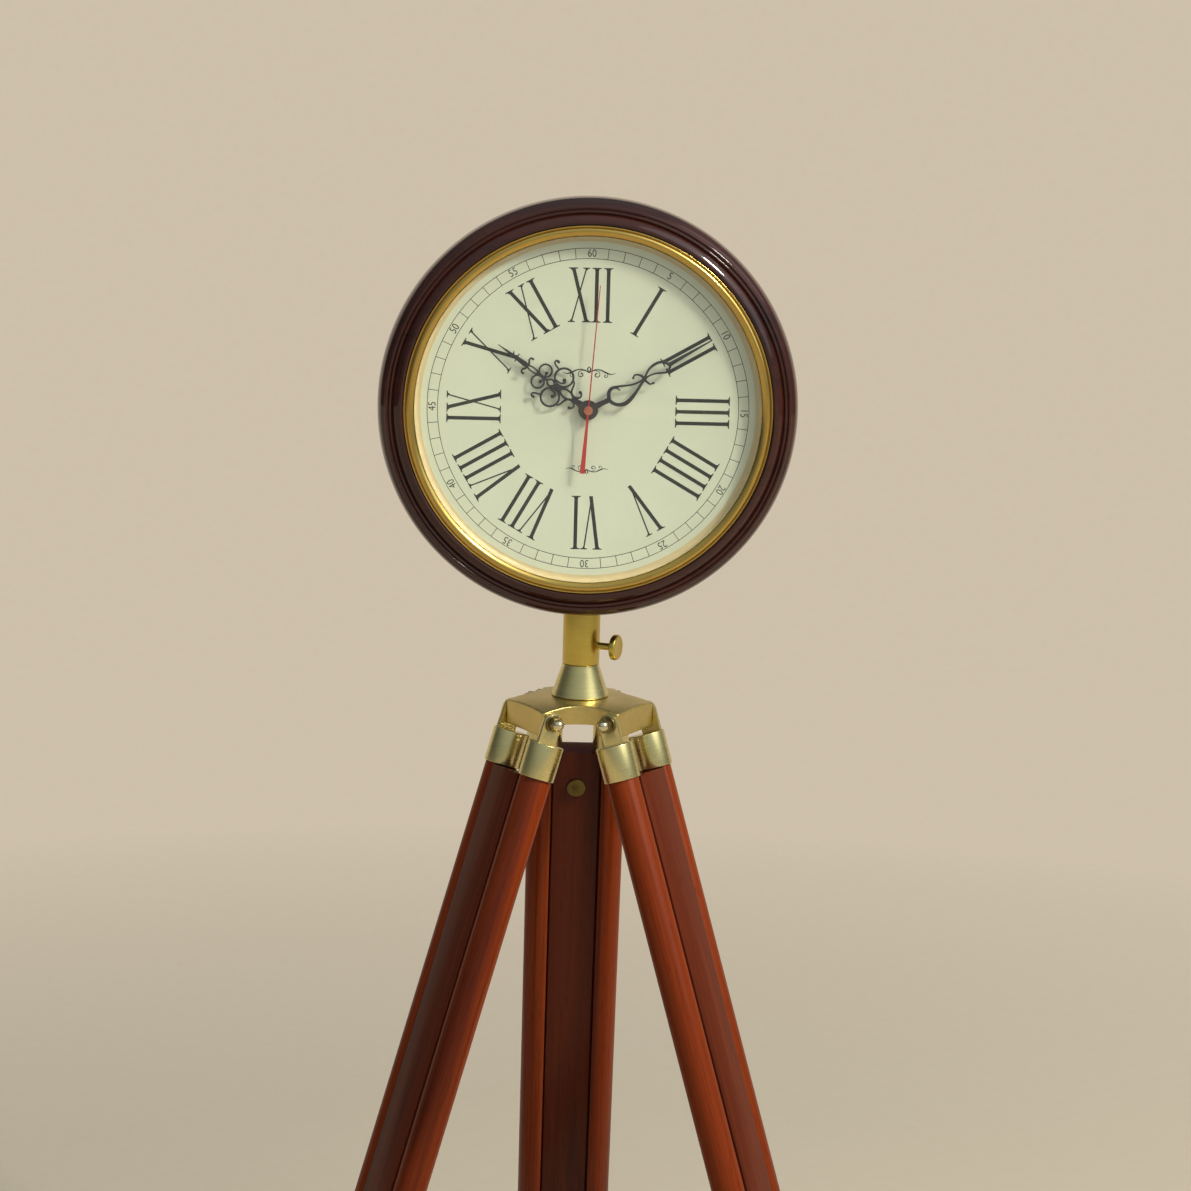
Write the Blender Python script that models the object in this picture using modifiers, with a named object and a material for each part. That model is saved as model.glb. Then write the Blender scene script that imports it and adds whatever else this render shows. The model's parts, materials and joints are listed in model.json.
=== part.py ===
"""Tripod floor clock: a round wooden case with a brass bezel, on a brass and wood folding tripod.

Metres, +Z up. The clock faces -Y and the rear leg stands at +Y. The floor is z = 0, and the
origin is the middle of the clock's footprint. The legs are spread and their centre boards are
pushed fully home, as the clock stands in use at its lowest height.
"""

import math

import bmesh
import bpy
from mathutils import Vector

# Clearances
GAP = 0.0003
OVERRUN = 0.002

# Roundness of turned and drilled shapes
LARGE_STEPS = 56
TUBE_STEPS = 24
SMALL_STEPS = 14
ARC_STEPS = 8
DOME_STEPS = 30

# Case: the bezel, the bore, the dial and the hands follow its radius
CASE_RADIUS = 0.1747
CASE_FACE_WIDTH = 0.0223
CASE_WALL = 0.0247
CASE_DEPTH = 0.0820
DIAL_LEDGE_WIDTH = 0.0060
DIAL_LEDGE_THICKNESS = 0.0060
BACK_REBATE_WIDTH = 0.0060
# Outward from the bezel's rim as a share of the wood's width there, back as a share of the depth
CASE_SIDE_SHARES = (
    (0.00, 0.020), (0.08, 0.012), (0.20, 0.025), (0.31, 0.047), (0.38, 0.074), (0.50, 0.064),
    (0.66, 0.074), (0.80, 0.105), (0.93, 0.205), (1.00, 0.400), (0.95, 0.640), (0.78, 0.850),
    (0.50, 0.970), (0.28, 1.000),
)

# Bezel and glass
BEZEL_HEIGHT = 0.0050
BEZEL_WIDTH = 0.0094
BEZEL_LIP_DEPTH = 0.0034
BEZEL_LIP_EDGE = 0.0012
GLASS_HOLD = 0.0032
GLASS_THICKNESS = 0.0022
GLASS_CLEARANCE = 0.0009
BEZEL_FORWARD = 0.0548
# Radius as a share of the ring's width, height as a share of the ring's height
BEZEL_FACE_SHARES = ((0.13, 0.80), (0.60, 1.00), (0.70, 0.80), (0.81, 0.98), (1.00, 0.68))

# Dial and hands
DIAL_THICKNESS = 0.0015
HAND_THICKNESS = 0.0008
HAND_SPACE = 0.0008
HUB_RADIUS = 0.0082
HUB_CAP_RADIUS = 0.0037
HUB_CAP_HEIGHT = 0.0006
# Lengths of the hands and of the second hand's tail, as shares of the dial's visible radius
HOUR_HAND_SHARE = 0.640
MINUTE_HAND_SHARE = 0.818
SECOND_HAND_SHARE = 0.720
SECOND_TAIL_SHARE = 0.367
SECOND_TAIL_WIDTH = 0.0042
SECOND_NEEDLE_WIDTH = 0.0010
HOUR_ANGLE = math.radians(304.9)
MINUTE_ANGLE = math.radians(59.0)
SECOND_ANGLE = math.radians(4.2)
# Across and along the hand as shares of its length: ring centres, then ring radius and hole radius
HOUR_RING_SHARES = ((0.117, 0.350, 0.090, 0.070), (0.074, 0.525, 0.063, 0.046))
# Right side of the hour hand, across and along as shares of its length, above the rings
HOUR_POINT_SHARES = (
    (0.013, 0.600), (0.012, 0.655), (0.070, 0.640), (0.086, 0.665), (0.078, 0.690), (0.014, 0.705),
    (0.010, 0.860), (0.045, 0.868), (0.045, 0.884), (0.009, 0.892),
)
# Leaf-shaped loops of the minute hand: centre across and along, half width and half length
MINUTE_LOOP_SHARES = ((0.026, 0.292, 0.060, 0.150), (-0.014, 0.548, 0.046, 0.106))
MINUTE_LOOP_WALL = 0.0019
MINUTE_BLADE_WIDTH = 0.0034

# Hand arbors, smallest first, and the bush that they turn in
SECOND_ARBOR_RADIUS = 0.0005
MINUTE_ARBOR_WALL = 0.0008
HOUR_ARBOR_WALL = 0.0008
BUSH_WALL = 0.0010
BUSH_PROUD = 0.0003
ARBOR_DEPTH = 0.0050
HAND_NUT_THICKNESS = 0.0018
HAND_NUT_WALL = 0.0028

# Quartz movement
MOVEMENT_HEIGHT = 0.0560
MOVEMENT_THICKNESS = 0.0180
BATTERY_RADIUS = 0.00725
BATTERY_LENGTH = 0.0495
BATTERY_TIP_RADIUS = 0.0025
BATTERY_TIP_LENGTH = 0.0010
BATTERY_EDGE = 0.0018
BATTERY_BAY_WALL = 0.0020
BATTERY_BAY_END = 0.0020
SET_WHEEL_RADIUS = 0.0065
SET_WHEEL_THICKNESS = 0.0040
SET_WHEEL_TEETH = 18
SET_WHEEL_TOOTH = 0.0006
SET_WHEEL_ARBOR_RADIUS = 0.0015
SET_WHEEL_ARBOR_LENGTH = 0.0045
SET_WHEEL_ACROSS = 0.0150
SET_WHEEL_UP = 0.0125

# Back board and its screws
BACK_BOARD_THICKNESS = 0.0060
ACCESS_WIDTH = 0.0900
ACCESS_HEIGHT = 0.1100
BACK_SCREW_COUNT = 3
BACK_SCREW_RADIUS = 0.0015
BACK_SCREW_LENGTH = 0.0160
BACK_SCREW_HEAD_RADIUS = 0.0028
BACK_SCREW_HEAD_HEIGHT = 0.0016

# Neck: the sleeve under the case, its bolt, and the post and cone that carry it
SLEEVE_RADIUS = 0.0157
SLEEVE_WALL = 0.0032
NECK_LENGTH = 0.0462
SOCKET_DEPTH = 0.0084
SLEEVE_PLUG_LENGTH = 0.0140
NECK_BOLT_RADIUS = 0.0040
NECK_BOLT_HEAD_RADIUS = 0.0070
NECK_BOLT_HEAD_HEIGHT = 0.0050
NECK_BOLT_GRIP = 0.0110
POST_TOP_CLEARANCE = 0.0030
STUD_RADIUS = 0.0060
CONE_BASE_RADIUS = 0.0243
CONE_HEIGHT = 0.0275
CONE_EDGE = 0.0016
CENTRE_NUT_RADIUS = 0.0110
CENTRE_NUT_HEIGHT = 0.0060
STUD_TIP = 0.0015

# Thumb screws: one in the sleeve and one in each leg's collar
THUMB_SHANK_RADIUS = 0.0030
THUMB_HEAD_RADIUS = 0.0111
THUMB_HEAD_THICKNESS = 0.0056
THUMB_HEAD_EDGE = 0.0012
THUMB_SHANK_LENGTH = 0.0128
NECK_SCREW_UP = 0.0160
NECK_SCREW_TURN = math.radians(-23.0)

# Tripod head casting
HEAD_PLATE_RISE = 0.0137
HEAD_DEPTH = 0.0257
HEAD_DROOP = 0.0055
HEAD_SCALLOP_DEPTH = 0.0170
HEAD_ARCH_CORNER = 0.0030
HEAD_ARCH_MARGIN = 0.0010
HEAD_PLATE_THICKNESS = 0.0097
HEAD_WALL = 0.0050
LOBE_HALF_WIDTH = 0.0315
LOBE_BEYOND_HINGE = 0.0072
LOBE_ROOT_CLEARANCE = 0.0010

# Legs
LEG_AZIMUTHS = {"rear": 90.0, "front_left": 210.0, "front_right": 330.0}
LEG_TILT = math.radians(18.2)
HINGE_RADIUS = 0.0470
LEG_INSET = 0.0035
BOARD_OUTSET = 0.0034
TANG_THICKNESS = 0.0040
TANG_WIDTH = 0.0170
TANG_OUTSET = 0.0050
FERRULE_DROP = 0.0184
FERRULE_LENGTH = 0.0297
FERRULE_RADIUS = 0.0156
FERRULE_WALL = 0.0015
FERRULE_TOP = 0.0020
RAIL_LENGTH = 0.6200
RAIL_FLAT = 0.0069
BOARD_SHOWING = 0.0484
BOARD_THICKNESS = 0.0200
BOARD_TOP_CLEARANCE = 0.0010
TONGUE_THICKNESS = 0.0074
TONGUE_DEPTH = 0.0045
BOLT_RADIUS = 0.0030
BOLT_HEAD_RADIUS = 0.0056
BOLT_HEAD_HEIGHT = 0.0040
ACORN_FLANGE_RADIUS = 0.0072
ACORN_FLANGE_THICKNESS = 0.0015
ACORN_HEX_RADIUS = 0.0064
ACORN_HEX_HEIGHT = 0.0078
ACORN_DOME_RADIUS = 0.0050
ACORN_BORE_DEPTH = 0.0092
DISC_RADIUS = 0.0088
DISC_THICKNESS = 0.0020
DISC_DROP = 0.0340
DISC_SCREW_RADIUS = 0.0034
DISC_SCREW_HEIGHT = 0.0014

# Collar at the foot of the rails
COLLAR_HEIGHT = 0.0380
COLLAR_WALL = 0.0020
COLLAR_BOSS_RADIUS = 0.0065
COLLAR_BOSS_LENGTH = 0.0080

# Shoe and pad at the foot of the centre board
SHOE_HEIGHT = 0.0320
SHOE_WALL = 0.0020
SHOE_FLOOR = 0.0020
PAD_THICKNESS = 0.0120
PAD_OVERHANG = 0.0010


# Depths behind the bezel's front, which is zero
GLASS_FRONT = -BEZEL_LIP_DEPTH - GAP
GLASS_BACK = GLASS_FRONT - GLASS_THICKNESS
BUSH_RISE = GAP + HAND_NUT_THICKNESS + BUSH_PROUD
HAND_STACK = BUSH_RISE + 3 * HAND_SPACE + 3 * HAND_THICKNESS + HUB_CAP_HEIGHT
DIAL_FRONT = GLASS_BACK - GLASS_CLEARANCE - HAND_STACK
DIAL_BACK = DIAL_FRONT - DIAL_THICKNESS
MOVEMENT_FRONT = DIAL_BACK - GAP
MOVEMENT_BACK = MOVEMENT_FRONT - MOVEMENT_THICKNESS
BUSH_FRONT = DIAL_FRONT + BUSH_RISE
HOUR_BACK = BUSH_FRONT + HAND_SPACE
MINUTE_BACK = HOUR_BACK + HAND_THICKNESS + HAND_SPACE
SECOND_BACK = MINUTE_BACK + HAND_THICKNESS + HAND_SPACE

# Radii of the arbors and of the holes round them
MINUTE_BORE = SECOND_ARBOR_RADIUS + GAP
MINUTE_ARBOR_RADIUS = MINUTE_BORE + MINUTE_ARBOR_WALL
HOUR_BORE = MINUTE_ARBOR_RADIUS + GAP
HOUR_ARBOR_RADIUS = HOUR_BORE + HOUR_ARBOR_WALL
BUSH_BORE = HOUR_ARBOR_RADIUS + GAP
BUSH_RADIUS = BUSH_BORE + BUSH_WALL
BUSH_HOLE = BUSH_RADIUS + GAP

# Radii of the case's steps, and the lengths of the hands
BEZEL_RADIUS = CASE_RADIUS - CASE_FACE_WIDTH
CASE_BORE_RADIUS = CASE_RADIUS - CASE_WALL
BEZEL_LIP_RADIUS = BEZEL_RADIUS - BEZEL_WIDTH
GLASS_RADIUS = BEZEL_LIP_RADIUS + GLASS_HOLD
BEZEL_SEAT_RADIUS = GLASS_RADIUS + GAP
RIM_RADIUS = BEZEL_RADIUS + GAP
BACK_REBATE_RADIUS = CASE_BORE_RADIUS + BACK_REBATE_WIDTH
DIAL_SEAT_RADIUS = GLASS_RADIUS - GLASS_HOLD / 2
DIAL_RADIUS = DIAL_SEAT_RADIUS - GAP
HOUR_HAND_LENGTH = BEZEL_LIP_RADIUS * HOUR_HAND_SHARE
MINUTE_HAND_LENGTH = BEZEL_LIP_RADIUS * MINUTE_HAND_SHARE
SECOND_HAND_LENGTH = BEZEL_LIP_RADIUS * SECOND_HAND_SHARE
SECOND_TAIL_LENGTH = BEZEL_LIP_RADIUS * SECOND_TAIL_SHARE

# Heights above the leg hinges, and their own height above the floor
LOBE_REACH = HINGE_RADIUS + LOBE_BEYOND_HINGE
LOBE_ROOT = HINGE_RADIUS - TANG_WIDTH / 2 - LOBE_ROOT_CLEARANCE
PLATE_TOP = HEAD_PLATE_RISE
PLATE_BOTTOM = PLATE_TOP - HEAD_PLATE_THICKNESS
CONE_BOTTOM = PLATE_TOP + GAP
CONE_TOP = CONE_BOTTOM + CONE_HEIGHT
SLEEVE_BOTTOM = CONE_TOP + GAP
DIAL_CENTRE = SLEEVE_BOTTOM + NECK_LENGTH + CASE_RADIUS
SOCKET_TOP = DIAL_CENTRE - CASE_RADIUS + SOCKET_DEPTH
SLEEVE_TOP = SOCKET_TOP - GAP
SLEEVE_STEP = SLEEVE_TOP - SLEEVE_PLUG_LENGTH
POST_TOP = SLEEVE_STEP - POST_TOP_CLEARANCE
SLEEVE_BORE = SLEEVE_RADIUS - SLEEVE_WALL
POST_RADIUS = SLEEVE_BORE - GAP

# Places along a leg, down from its hinge, and across it
FERRULE_BOTTOM = FERRULE_DROP + FERRULE_LENGTH
RAIL_TOP = FERRULE_DROP + FERRULE_TOP + GAP
RAIL_BOTTOM = RAIL_TOP + RAIL_LENGTH
BOARD_TOP = FERRULE_BOTTOM + BOARD_TOP_CLEARANCE
BOARD_BOTTOM = RAIL_BOTTOM + BOARD_SHOWING
BOARD_LENGTH = BOARD_BOTTOM - BOARD_TOP
SHOE_BOTTOM = BOARD_BOTTOM + GAP + SHOE_FLOOR
SHOE_TOP = SHOE_BOTTOM - SHOE_HEIGHT
PAD_TOP = SHOE_BOTTOM + GAP
PAD_BOTTOM = PAD_TOP + PAD_THICKNESS
COLLAR_MIDDLE = RAIL_BOTTOM - COLLAR_HEIGHT / 2
TANG_OUTSIDE = LOBE_HALF_WIDTH + GAP + TANG_THICKNESS
TANG_ACROSS = TANG_OUTSIDE - TANG_THICKNESS / 2
RAIL_ACROSS = TANG_ACROSS - TANG_OUTSET
RAIL_RADIUS = FERRULE_RADIUS - FERRULE_WALL - GAP
BOARD_PLACE = BOARD_OUTSET - LEG_INSET
BOARD_HALF_WIDTH = RAIL_ACROSS - RAIL_FLAT - GAP
TONGUE_HALF_WIDTH = BOARD_HALF_WIDTH + TONGUE_DEPTH
COLLAR_BORE = RAIL_RADIUS + GAP
COLLAR_RADIUS = COLLAR_BORE + COLLAR_WALL
SHOE_HALF_WIDTH = TONGUE_HALF_WIDTH + GAP + SHOE_WALL
SHOE_HALF_THICKNESS = BOARD_THICKNESS / 2 + GAP + SHOE_WALL
PAD_HALF_WIDTH = SHOE_HALF_WIDTH + PAD_OVERHANG
PAD_HALF_THICKNESS = SHOE_HALF_THICKNESS + PAD_OVERHANG
HOLE_RADIUS = BOLT_RADIUS + GAP
THUMB_HOLE_RADIUS = THUMB_SHANK_RADIUS + GAP
HINGE_HEIGHT = PAD_BOTTOM * math.cos(LEG_TILT) - BOARD_PLACE * math.sin(LEG_TILT)


def floor_point(x):
    """Where the floor meets a line down the leg at x from its hinge line, in the leg's frame."""
    return -(HINGE_HEIGHT + x * math.sin(LEG_TILT)) / math.cos(LEG_TILT)


def foot_reach():
    """How far the rear pad reaches behind the pole, and how far the front ones reach before it."""
    x = BOARD_PLACE + PAD_HALF_THICKNESS
    reach = HINGE_RADIUS + x * math.cos(LEG_TILT) - floor_point(x) * math.sin(LEG_TILT)
    turn = math.radians(LEG_AZIMUTHS["front_left"])
    return reach, -reach * math.sin(turn) - PAD_HALF_WIDTH * math.cos(turn)


def clear_scene():
    for item in list(bpy.data.objects):
        bpy.data.objects.remove(item, do_unlink=True)


def new_collection(name):
    collection = bpy.data.collections.new(name)
    bpy.context.scene.collection.children.link(collection)
    return collection


def new_material(name, colour, roughness, metallic):
    material = bpy.data.materials.new(name)
    material.use_nodes = True
    shader = material.node_tree.nodes["Principled BSDF"]
    shader.inputs["Base Color"].default_value = (*colour, 1.0)
    shader.inputs["Roughness"].default_value = roughness
    shader.inputs["Metallic"].default_value = metallic
    material.diffuse_color = (*colour, 1.0)
    return material


clear_scene()
PARTS = new_collection("tripod_floor_clock")
CUTTERS = new_collection("cutters")

CASE_WOOD = new_material("case_wood", (0.060, 0.020, 0.012), 0.22, 0.0)
LEG_WOOD = new_material("leg_wood", (0.230, 0.055, 0.020), 0.30, 0.0)
BACK_WOOD = new_material("back_wood", (0.240, 0.140, 0.070), 0.60, 0.0)
BRASS = new_material("brass", (0.560, 0.430, 0.190), 0.32, 1.0)
STEEL = new_material("steel", (0.520, 0.520, 0.500), 0.35, 1.0)
CLEAR_GLASS = new_material("clear_glass", (0.900, 0.930, 0.900), 0.05, 0.0)
CREAM_ENAMEL = new_material("cream_enamel", (0.690, 0.720, 0.550), 0.45, 0.0)
BLACK_METAL = new_material("black_metal", (0.012, 0.012, 0.014), 0.35, 0.0)
RED_METAL = new_material("red_metal", (0.420, 0.030, 0.020), 0.40, 0.0)
BLACK_PLASTIC = new_material("black_plastic", (0.020, 0.020, 0.022), 0.50, 0.0)
WHITE_PLASTIC = new_material("white_plastic", (0.700, 0.690, 0.650), 0.45, 0.0)
BATTERY_SLEEVE = new_material("battery_sleeve", (0.350, 0.360, 0.380), 0.35, 0.4)
BLACK_RUBBER = new_material("black_rubber", (0.020, 0.019, 0.018), 0.80, 0.0)


def new_empty(name, parent=None, location=(0, 0, 0), rotation=(0, 0, 0)):
    item = bpy.data.objects.new(name, None)
    item.parent = parent
    item.location = location
    item.rotation_euler = rotation
    PARTS.objects.link(item)
    return item


def add_object(name, data, parent, location, rotation, material):
    """A named part, or a hidden cutter where it has no material."""
    item = bpy.data.objects.new(name, data)
    item.parent = parent
    item.location = location
    item.rotation_euler = rotation
    if material:
        PARTS.objects.link(item)
        data.materials.append(material)
    else:
        CUTTERS.objects.link(item)
        item.hide_render = True
        item.display_type = "WIRE"
    return item


def smooth(mesh, angle=math.radians(35.0)):
    mesh.shade_smooth()
    mesh.set_sharp_from_angle(angle=angle)


def mesh_from(form, name, round_piece=True):
    mesh = bpy.data.meshes.new(name)
    form.to_mesh(mesh)
    form.free()
    if round_piece:
        smooth(mesh)
    return mesh


def box(name, low, high, parent, material=None):
    """A box between two corners, given in the parent's frame."""
    low, high = Vector(low), Vector(high)
    form = bmesh.new()
    bmesh.ops.create_cube(form, size=1.0)
    bmesh.ops.scale(form, vec=high - low, verts=form.verts)
    mesh = mesh_from(form, name, round_piece=False)
    return add_object(name, mesh, parent, (low + high) / 2, (0, 0, 0), material)


def rod(
    name,
    radius,
    length,
    parent,
    location,
    rotation=(0, 0, 0),
    material=None,
    steps=SMALL_STEPS,
    tip=None,
):
    """A round bar from its own origin along +Z. A tip radius tapers it."""
    end = radius if tip is None else tip
    form = bmesh.new()
    bmesh.ops.create_cone(form, cap_ends=True, segments=steps, radius1=radius, radius2=end, depth=length)
    bmesh.ops.translate(form, vec=(0, 0, length / 2), verts=form.verts)
    return add_object(name, mesh_from(form, name), parent, location, rotation, material)


def turned(
    name,
    outline,
    parent,
    location=(0, 0, 0),
    rotation=(0, 0, 0),
    material=None,
    steps=TUBE_STEPS,
    closed=True,
):
    """A shape turned about local Z. Its outline runs down the outer side, then up the inner one."""
    mesh = bpy.data.meshes.new(name)
    edges = [(i, i + 1) for i in range(len(outline) - 1)]
    if closed:
        edges.append((len(outline) - 1, 0))
    mesh.from_pydata([(radius, 0, height) for radius, height in outline], edges, [])
    item = add_object(name, mesh, parent, location, rotation, material)
    screw = item.modifiers.new("turned", "SCREW")
    screw.steps = steps
    screw.render_steps = steps
    screw.use_merge_vertices = True
    screw.merge_threshold = 0.00001
    screw.use_smooth_shade = True
    return item


def arc(centre, radius, start, end, steps=ARC_STEPS):
    """Points round an arc, in radians from +X, both ends included."""
    angles = [start + (end - start) * i / steps for i in range(steps + 1)]
    return [(centre[0] + radius * math.cos(a), centre[1] + radius * math.sin(a)) for a in angles]


def circle(centre, radius, steps=SMALL_STEPS):
    return arc(centre, radius, 0, 2 * math.pi, steps)[:-1]


def mirrored(points):
    """The same points on the other side of the Y axis, in reverse."""
    return [(-x, y) for x, y in reversed(points)]


def flat(name, outlines, thickness, parent, location=(0, 0, 0), rotation=(0, 0, 0), material=None):
    """A plate from z = 0 up by this thickness. The first outline is its edge and the rest are holes."""
    curve = bpy.data.curves.new(name, "CURVE")
    curve.dimensions = "2D"
    curve.fill_mode = "BOTH"
    curve.extrude = thickness / 2
    for outline in outlines:
        spline = curve.splines.new("POLY")
        spline.points.add(len(outline) - 1)
        for point, (x, y) in zip(spline.points, outline):
            point.co = (x, y, 0, 1)
        spline.use_cyclic_u = True
    holder = bpy.data.objects.new(name + "_curve", curve)
    CUTTERS.objects.link(holder)
    graph = bpy.context.evaluated_depsgraph_get()
    mesh = bpy.data.meshes.new_from_object(holder.evaluated_get(graph))
    bpy.data.objects.remove(holder)
    form = bmesh.new()
    form.from_mesh(mesh)
    bmesh.ops.remove_doubles(form, verts=form.verts, dist=GAP / 100)
    bmesh.ops.translate(form, vec=(0, 0, thickness / 2), verts=form.verts)
    form.to_mesh(mesh)
    form.free()
    mesh.name = name
    smooth(mesh)
    return add_object(name, mesh, parent, location, rotation, material)


def shape(target, operation, tool):
    boolean = target.modifiers.new(tool.name, "BOOLEAN")
    boolean.operation = operation
    boolean.object = tool
    boolean.solver = "EXACT"


def cut(target, *tools):
    for tool in tools:
        shape(target, "DIFFERENCE", tool)


def join(target, *tools):
    for tool in tools:
        shape(target, "UNION", tool)


def rounded(item, width, segments=2):
    """Rounds the edges that turn by more than a quarter of a right angle."""
    bevel = item.modifiers.new("rounded", "BEVEL")
    bevel.width = width
    bevel.segments = segments
    bevel.limit_method = "ANGLE"
    bevel.angle_limit = math.radians(50.0)


def radial(azimuth, outward, across):
    """A plan point at this distance outward along an azimuth and this far across it."""
    turn = math.radians(azimuth)
    return (
        outward * math.cos(turn) - across * math.sin(turn),
        outward * math.sin(turn) + across * math.cos(turn),
    )


# Case, dial and hands


def make_bezel(frame):
    width = BEZEL_RADIUS - BEZEL_LIP_RADIUS
    face = [
        (BEZEL_LIP_RADIUS + across * width, (up - 1) * BEZEL_HEIGHT) for across, up in BEZEL_FACE_SHARES
    ]
    outline = [
        (BEZEL_LIP_RADIUS, -BEZEL_LIP_DEPTH + BEZEL_LIP_EDGE),
        *face,
        (BEZEL_RADIUS, -BEZEL_HEIGHT),
        (BEZEL_SEAT_RADIUS, -BEZEL_HEIGHT),
        (BEZEL_SEAT_RADIUS, -BEZEL_LIP_DEPTH),
        (BEZEL_LIP_RADIUS, -BEZEL_LIP_DEPTH),
    ]
    turned("bezel", outline, frame, material=BRASS, steps=LARGE_STEPS)


def make_glass(frame):
    outline = [
        (0, GLASS_FRONT),
        (GLASS_RADIUS, GLASS_FRONT),
        (GLASS_RADIUS, GLASS_BACK),
        (0, GLASS_BACK),
    ]
    turned("glass", outline, frame, material=CLEAR_GLASS, steps=LARGE_STEPS, closed=False)


def make_dial(frame):
    outline = [
        (BUSH_HOLE, DIAL_FRONT),
        (DIAL_RADIUS, DIAL_FRONT),
        (DIAL_RADIUS, DIAL_BACK),
        (BUSH_HOLE, DIAL_BACK),
    ]
    turned("dial", outline, frame, material=CREAM_ENAMEL, steps=LARGE_STEPS)


def case_outline():
    """The wooden ring's section: front face, rounded side, back rebate, bore and dial ledge."""
    wood = CASE_RADIUS - RIM_RADIUS
    side = [(RIM_RADIUS + across * wood, -back * CASE_DEPTH) for across, back in CASE_SIDE_SHARES]
    seat = min(GLASS_BACK, -BEZEL_HEIGHT) - GAP
    ledge = DIAL_BACK - GAP
    rebate = -CASE_DEPTH + BACK_BOARD_THICKNESS + GAP
    return [
        (RIM_RADIUS, -BEZEL_HEIGHT - GAP),
        *side,
        (BACK_REBATE_RADIUS, -CASE_DEPTH),
        (BACK_REBATE_RADIUS, rebate),
        (CASE_BORE_RADIUS, rebate),
        (CASE_BORE_RADIUS, ledge - DIAL_LEDGE_THICKNESS),
        (DIAL_SEAT_RADIUS - DIAL_LEDGE_WIDTH, ledge - DIAL_LEDGE_THICKNESS),
        (DIAL_SEAT_RADIUS - DIAL_LEDGE_WIDTH, ledge),
        (DIAL_SEAT_RADIUS, ledge),
        (DIAL_SEAT_RADIUS, seat),
        (BEZEL_SEAT_RADIUS, seat),
        (BEZEL_SEAT_RADIUS, -BEZEL_HEIGHT - GAP),
    ]


def make_case(frame):
    case = turned("case_ring", case_outline(), frame, material=CASE_WOOD, steps=LARGE_STEPS)
    hang = (-CASE_RADIUS - OVERRUN, -BEZEL_FORWARD)
    upward = (-math.pi / 2, 0, 0)
    socket = rod(
        "socket_cut",
        SLEEVE_RADIUS + GAP,
        SOCKET_DEPTH + OVERRUN,
        frame,
        (0, *hang),
        upward,
        steps=TUBE_STEPS,
    )
    bolt_way = rod(
        "neck_bolt_cut",
        NECK_BOLT_RADIUS + GAP,
        CASE_RADIUS - CASE_BORE_RADIUS + 2 * OVERRUN,
        frame,
        (0, *hang),
        upward,
    )
    cut(case, socket, bolt_way)
    for turn in back_screw_turns():
        x, y = back_screw_place(turn)
        hole = rod(
            f"back_screw_cut_{turn:.0f}",
            BACK_SCREW_RADIUS + GAP,
            BACK_SCREW_LENGTH + OVERRUN,
            frame,
            (x, y, -CASE_DEPTH + BACK_BOARD_THICKNESS - OVERRUN),
        )
        cut(case, hole)


def back_screw_turns():
    return [90.0 + 360.0 * i / BACK_SCREW_COUNT for i in range(BACK_SCREW_COUNT)]


def back_screw_place(turn):
    return radial(turn, CASE_BORE_RADIUS + BACK_REBATE_WIDTH / 2, 0)


def make_back_board(frame):
    outline = [
        (0, -CASE_DEPTH + BACK_BOARD_THICKNESS),
        (BACK_REBATE_RADIUS - GAP, -CASE_DEPTH + BACK_BOARD_THICKNESS),
        (BACK_REBATE_RADIUS - GAP, -CASE_DEPTH),
        (0, -CASE_DEPTH),
    ]
    board = turned("back_board", outline, frame, material=BACK_WOOD, steps=LARGE_STEPS, closed=False)
    access = box(
        "access_cut",
        (-ACCESS_WIDTH / 2, -ACCESS_HEIGHT / 2, -CASE_DEPTH - OVERRUN),
        (ACCESS_WIDTH / 2, ACCESS_HEIGHT / 2, -CASE_DEPTH + BACK_BOARD_THICKNESS + OVERRUN),
        frame,
    )
    cut(board, access)
    for number, turn in enumerate(back_screw_turns(), 1):
        x, y = back_screw_place(turn)
        hole = rod(
            f"back_board_cut_{number}",
            BACK_SCREW_RADIUS + GAP,
            BACK_BOARD_THICKNESS + 2 * OVERRUN,
            frame,
            (x, y, -CASE_DEPTH - OVERRUN),
        )
        cut(board, hole)
        make_back_screw(frame, number, x, y)


def make_back_screw(frame, number, x, y):
    """A round-headed wood screw, driven in from behind."""
    head = -CASE_DEPTH - GAP
    outline = [
        (0, head + BACK_SCREW_LENGTH),
        (BACK_SCREW_RADIUS, head + BACK_SCREW_LENGTH - BACK_SCREW_RADIUS),
        (BACK_SCREW_RADIUS, head),
        (BACK_SCREW_HEAD_RADIUS, head),
        (BACK_SCREW_HEAD_RADIUS, head - BACK_SCREW_HEAD_HEIGHT / 2),
        (BACK_SCREW_HEAD_RADIUS / 2, head - BACK_SCREW_HEAD_HEIGHT),
        (0, head - BACK_SCREW_HEAD_HEIGHT),
    ]
    place = (x, y, 0)
    turned(f"back_screw_{number}", outline, frame, place, material=BRASS, steps=SMALL_STEPS, closed=False)


def hour_outline():
    """The hour hand's edge: hub, two pairs of rings, a pair of arms and a crossed tip."""
    length = HOUR_HAND_LENGTH
    lower, upper = [
        ((across * length, along * length), ring * length)
        for across, along, ring, _ in HOUR_RING_SHARES
    ]
    side = arc((0, 0), HUB_RADIUS, -math.pi / 2, math.radians(65))
    side += arc(*lower, math.radians(-140), math.radians(75))
    side += arc(*upper, math.radians(-50), math.radians(130))
    side += [(across * length, along * length) for across, along in HOUR_POINT_SHARES]
    return side + [(0, length)] + mirrored(side)[:-1]


def hour_holes():
    length = HOUR_HAND_LENGTH
    return [
        circle((sign * across * length, along * length), hole * length, 2 * ARC_STEPS)
        for across, along, _, hole in HOUR_RING_SHARES
        for sign in (1, -1)
    ]


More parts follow.
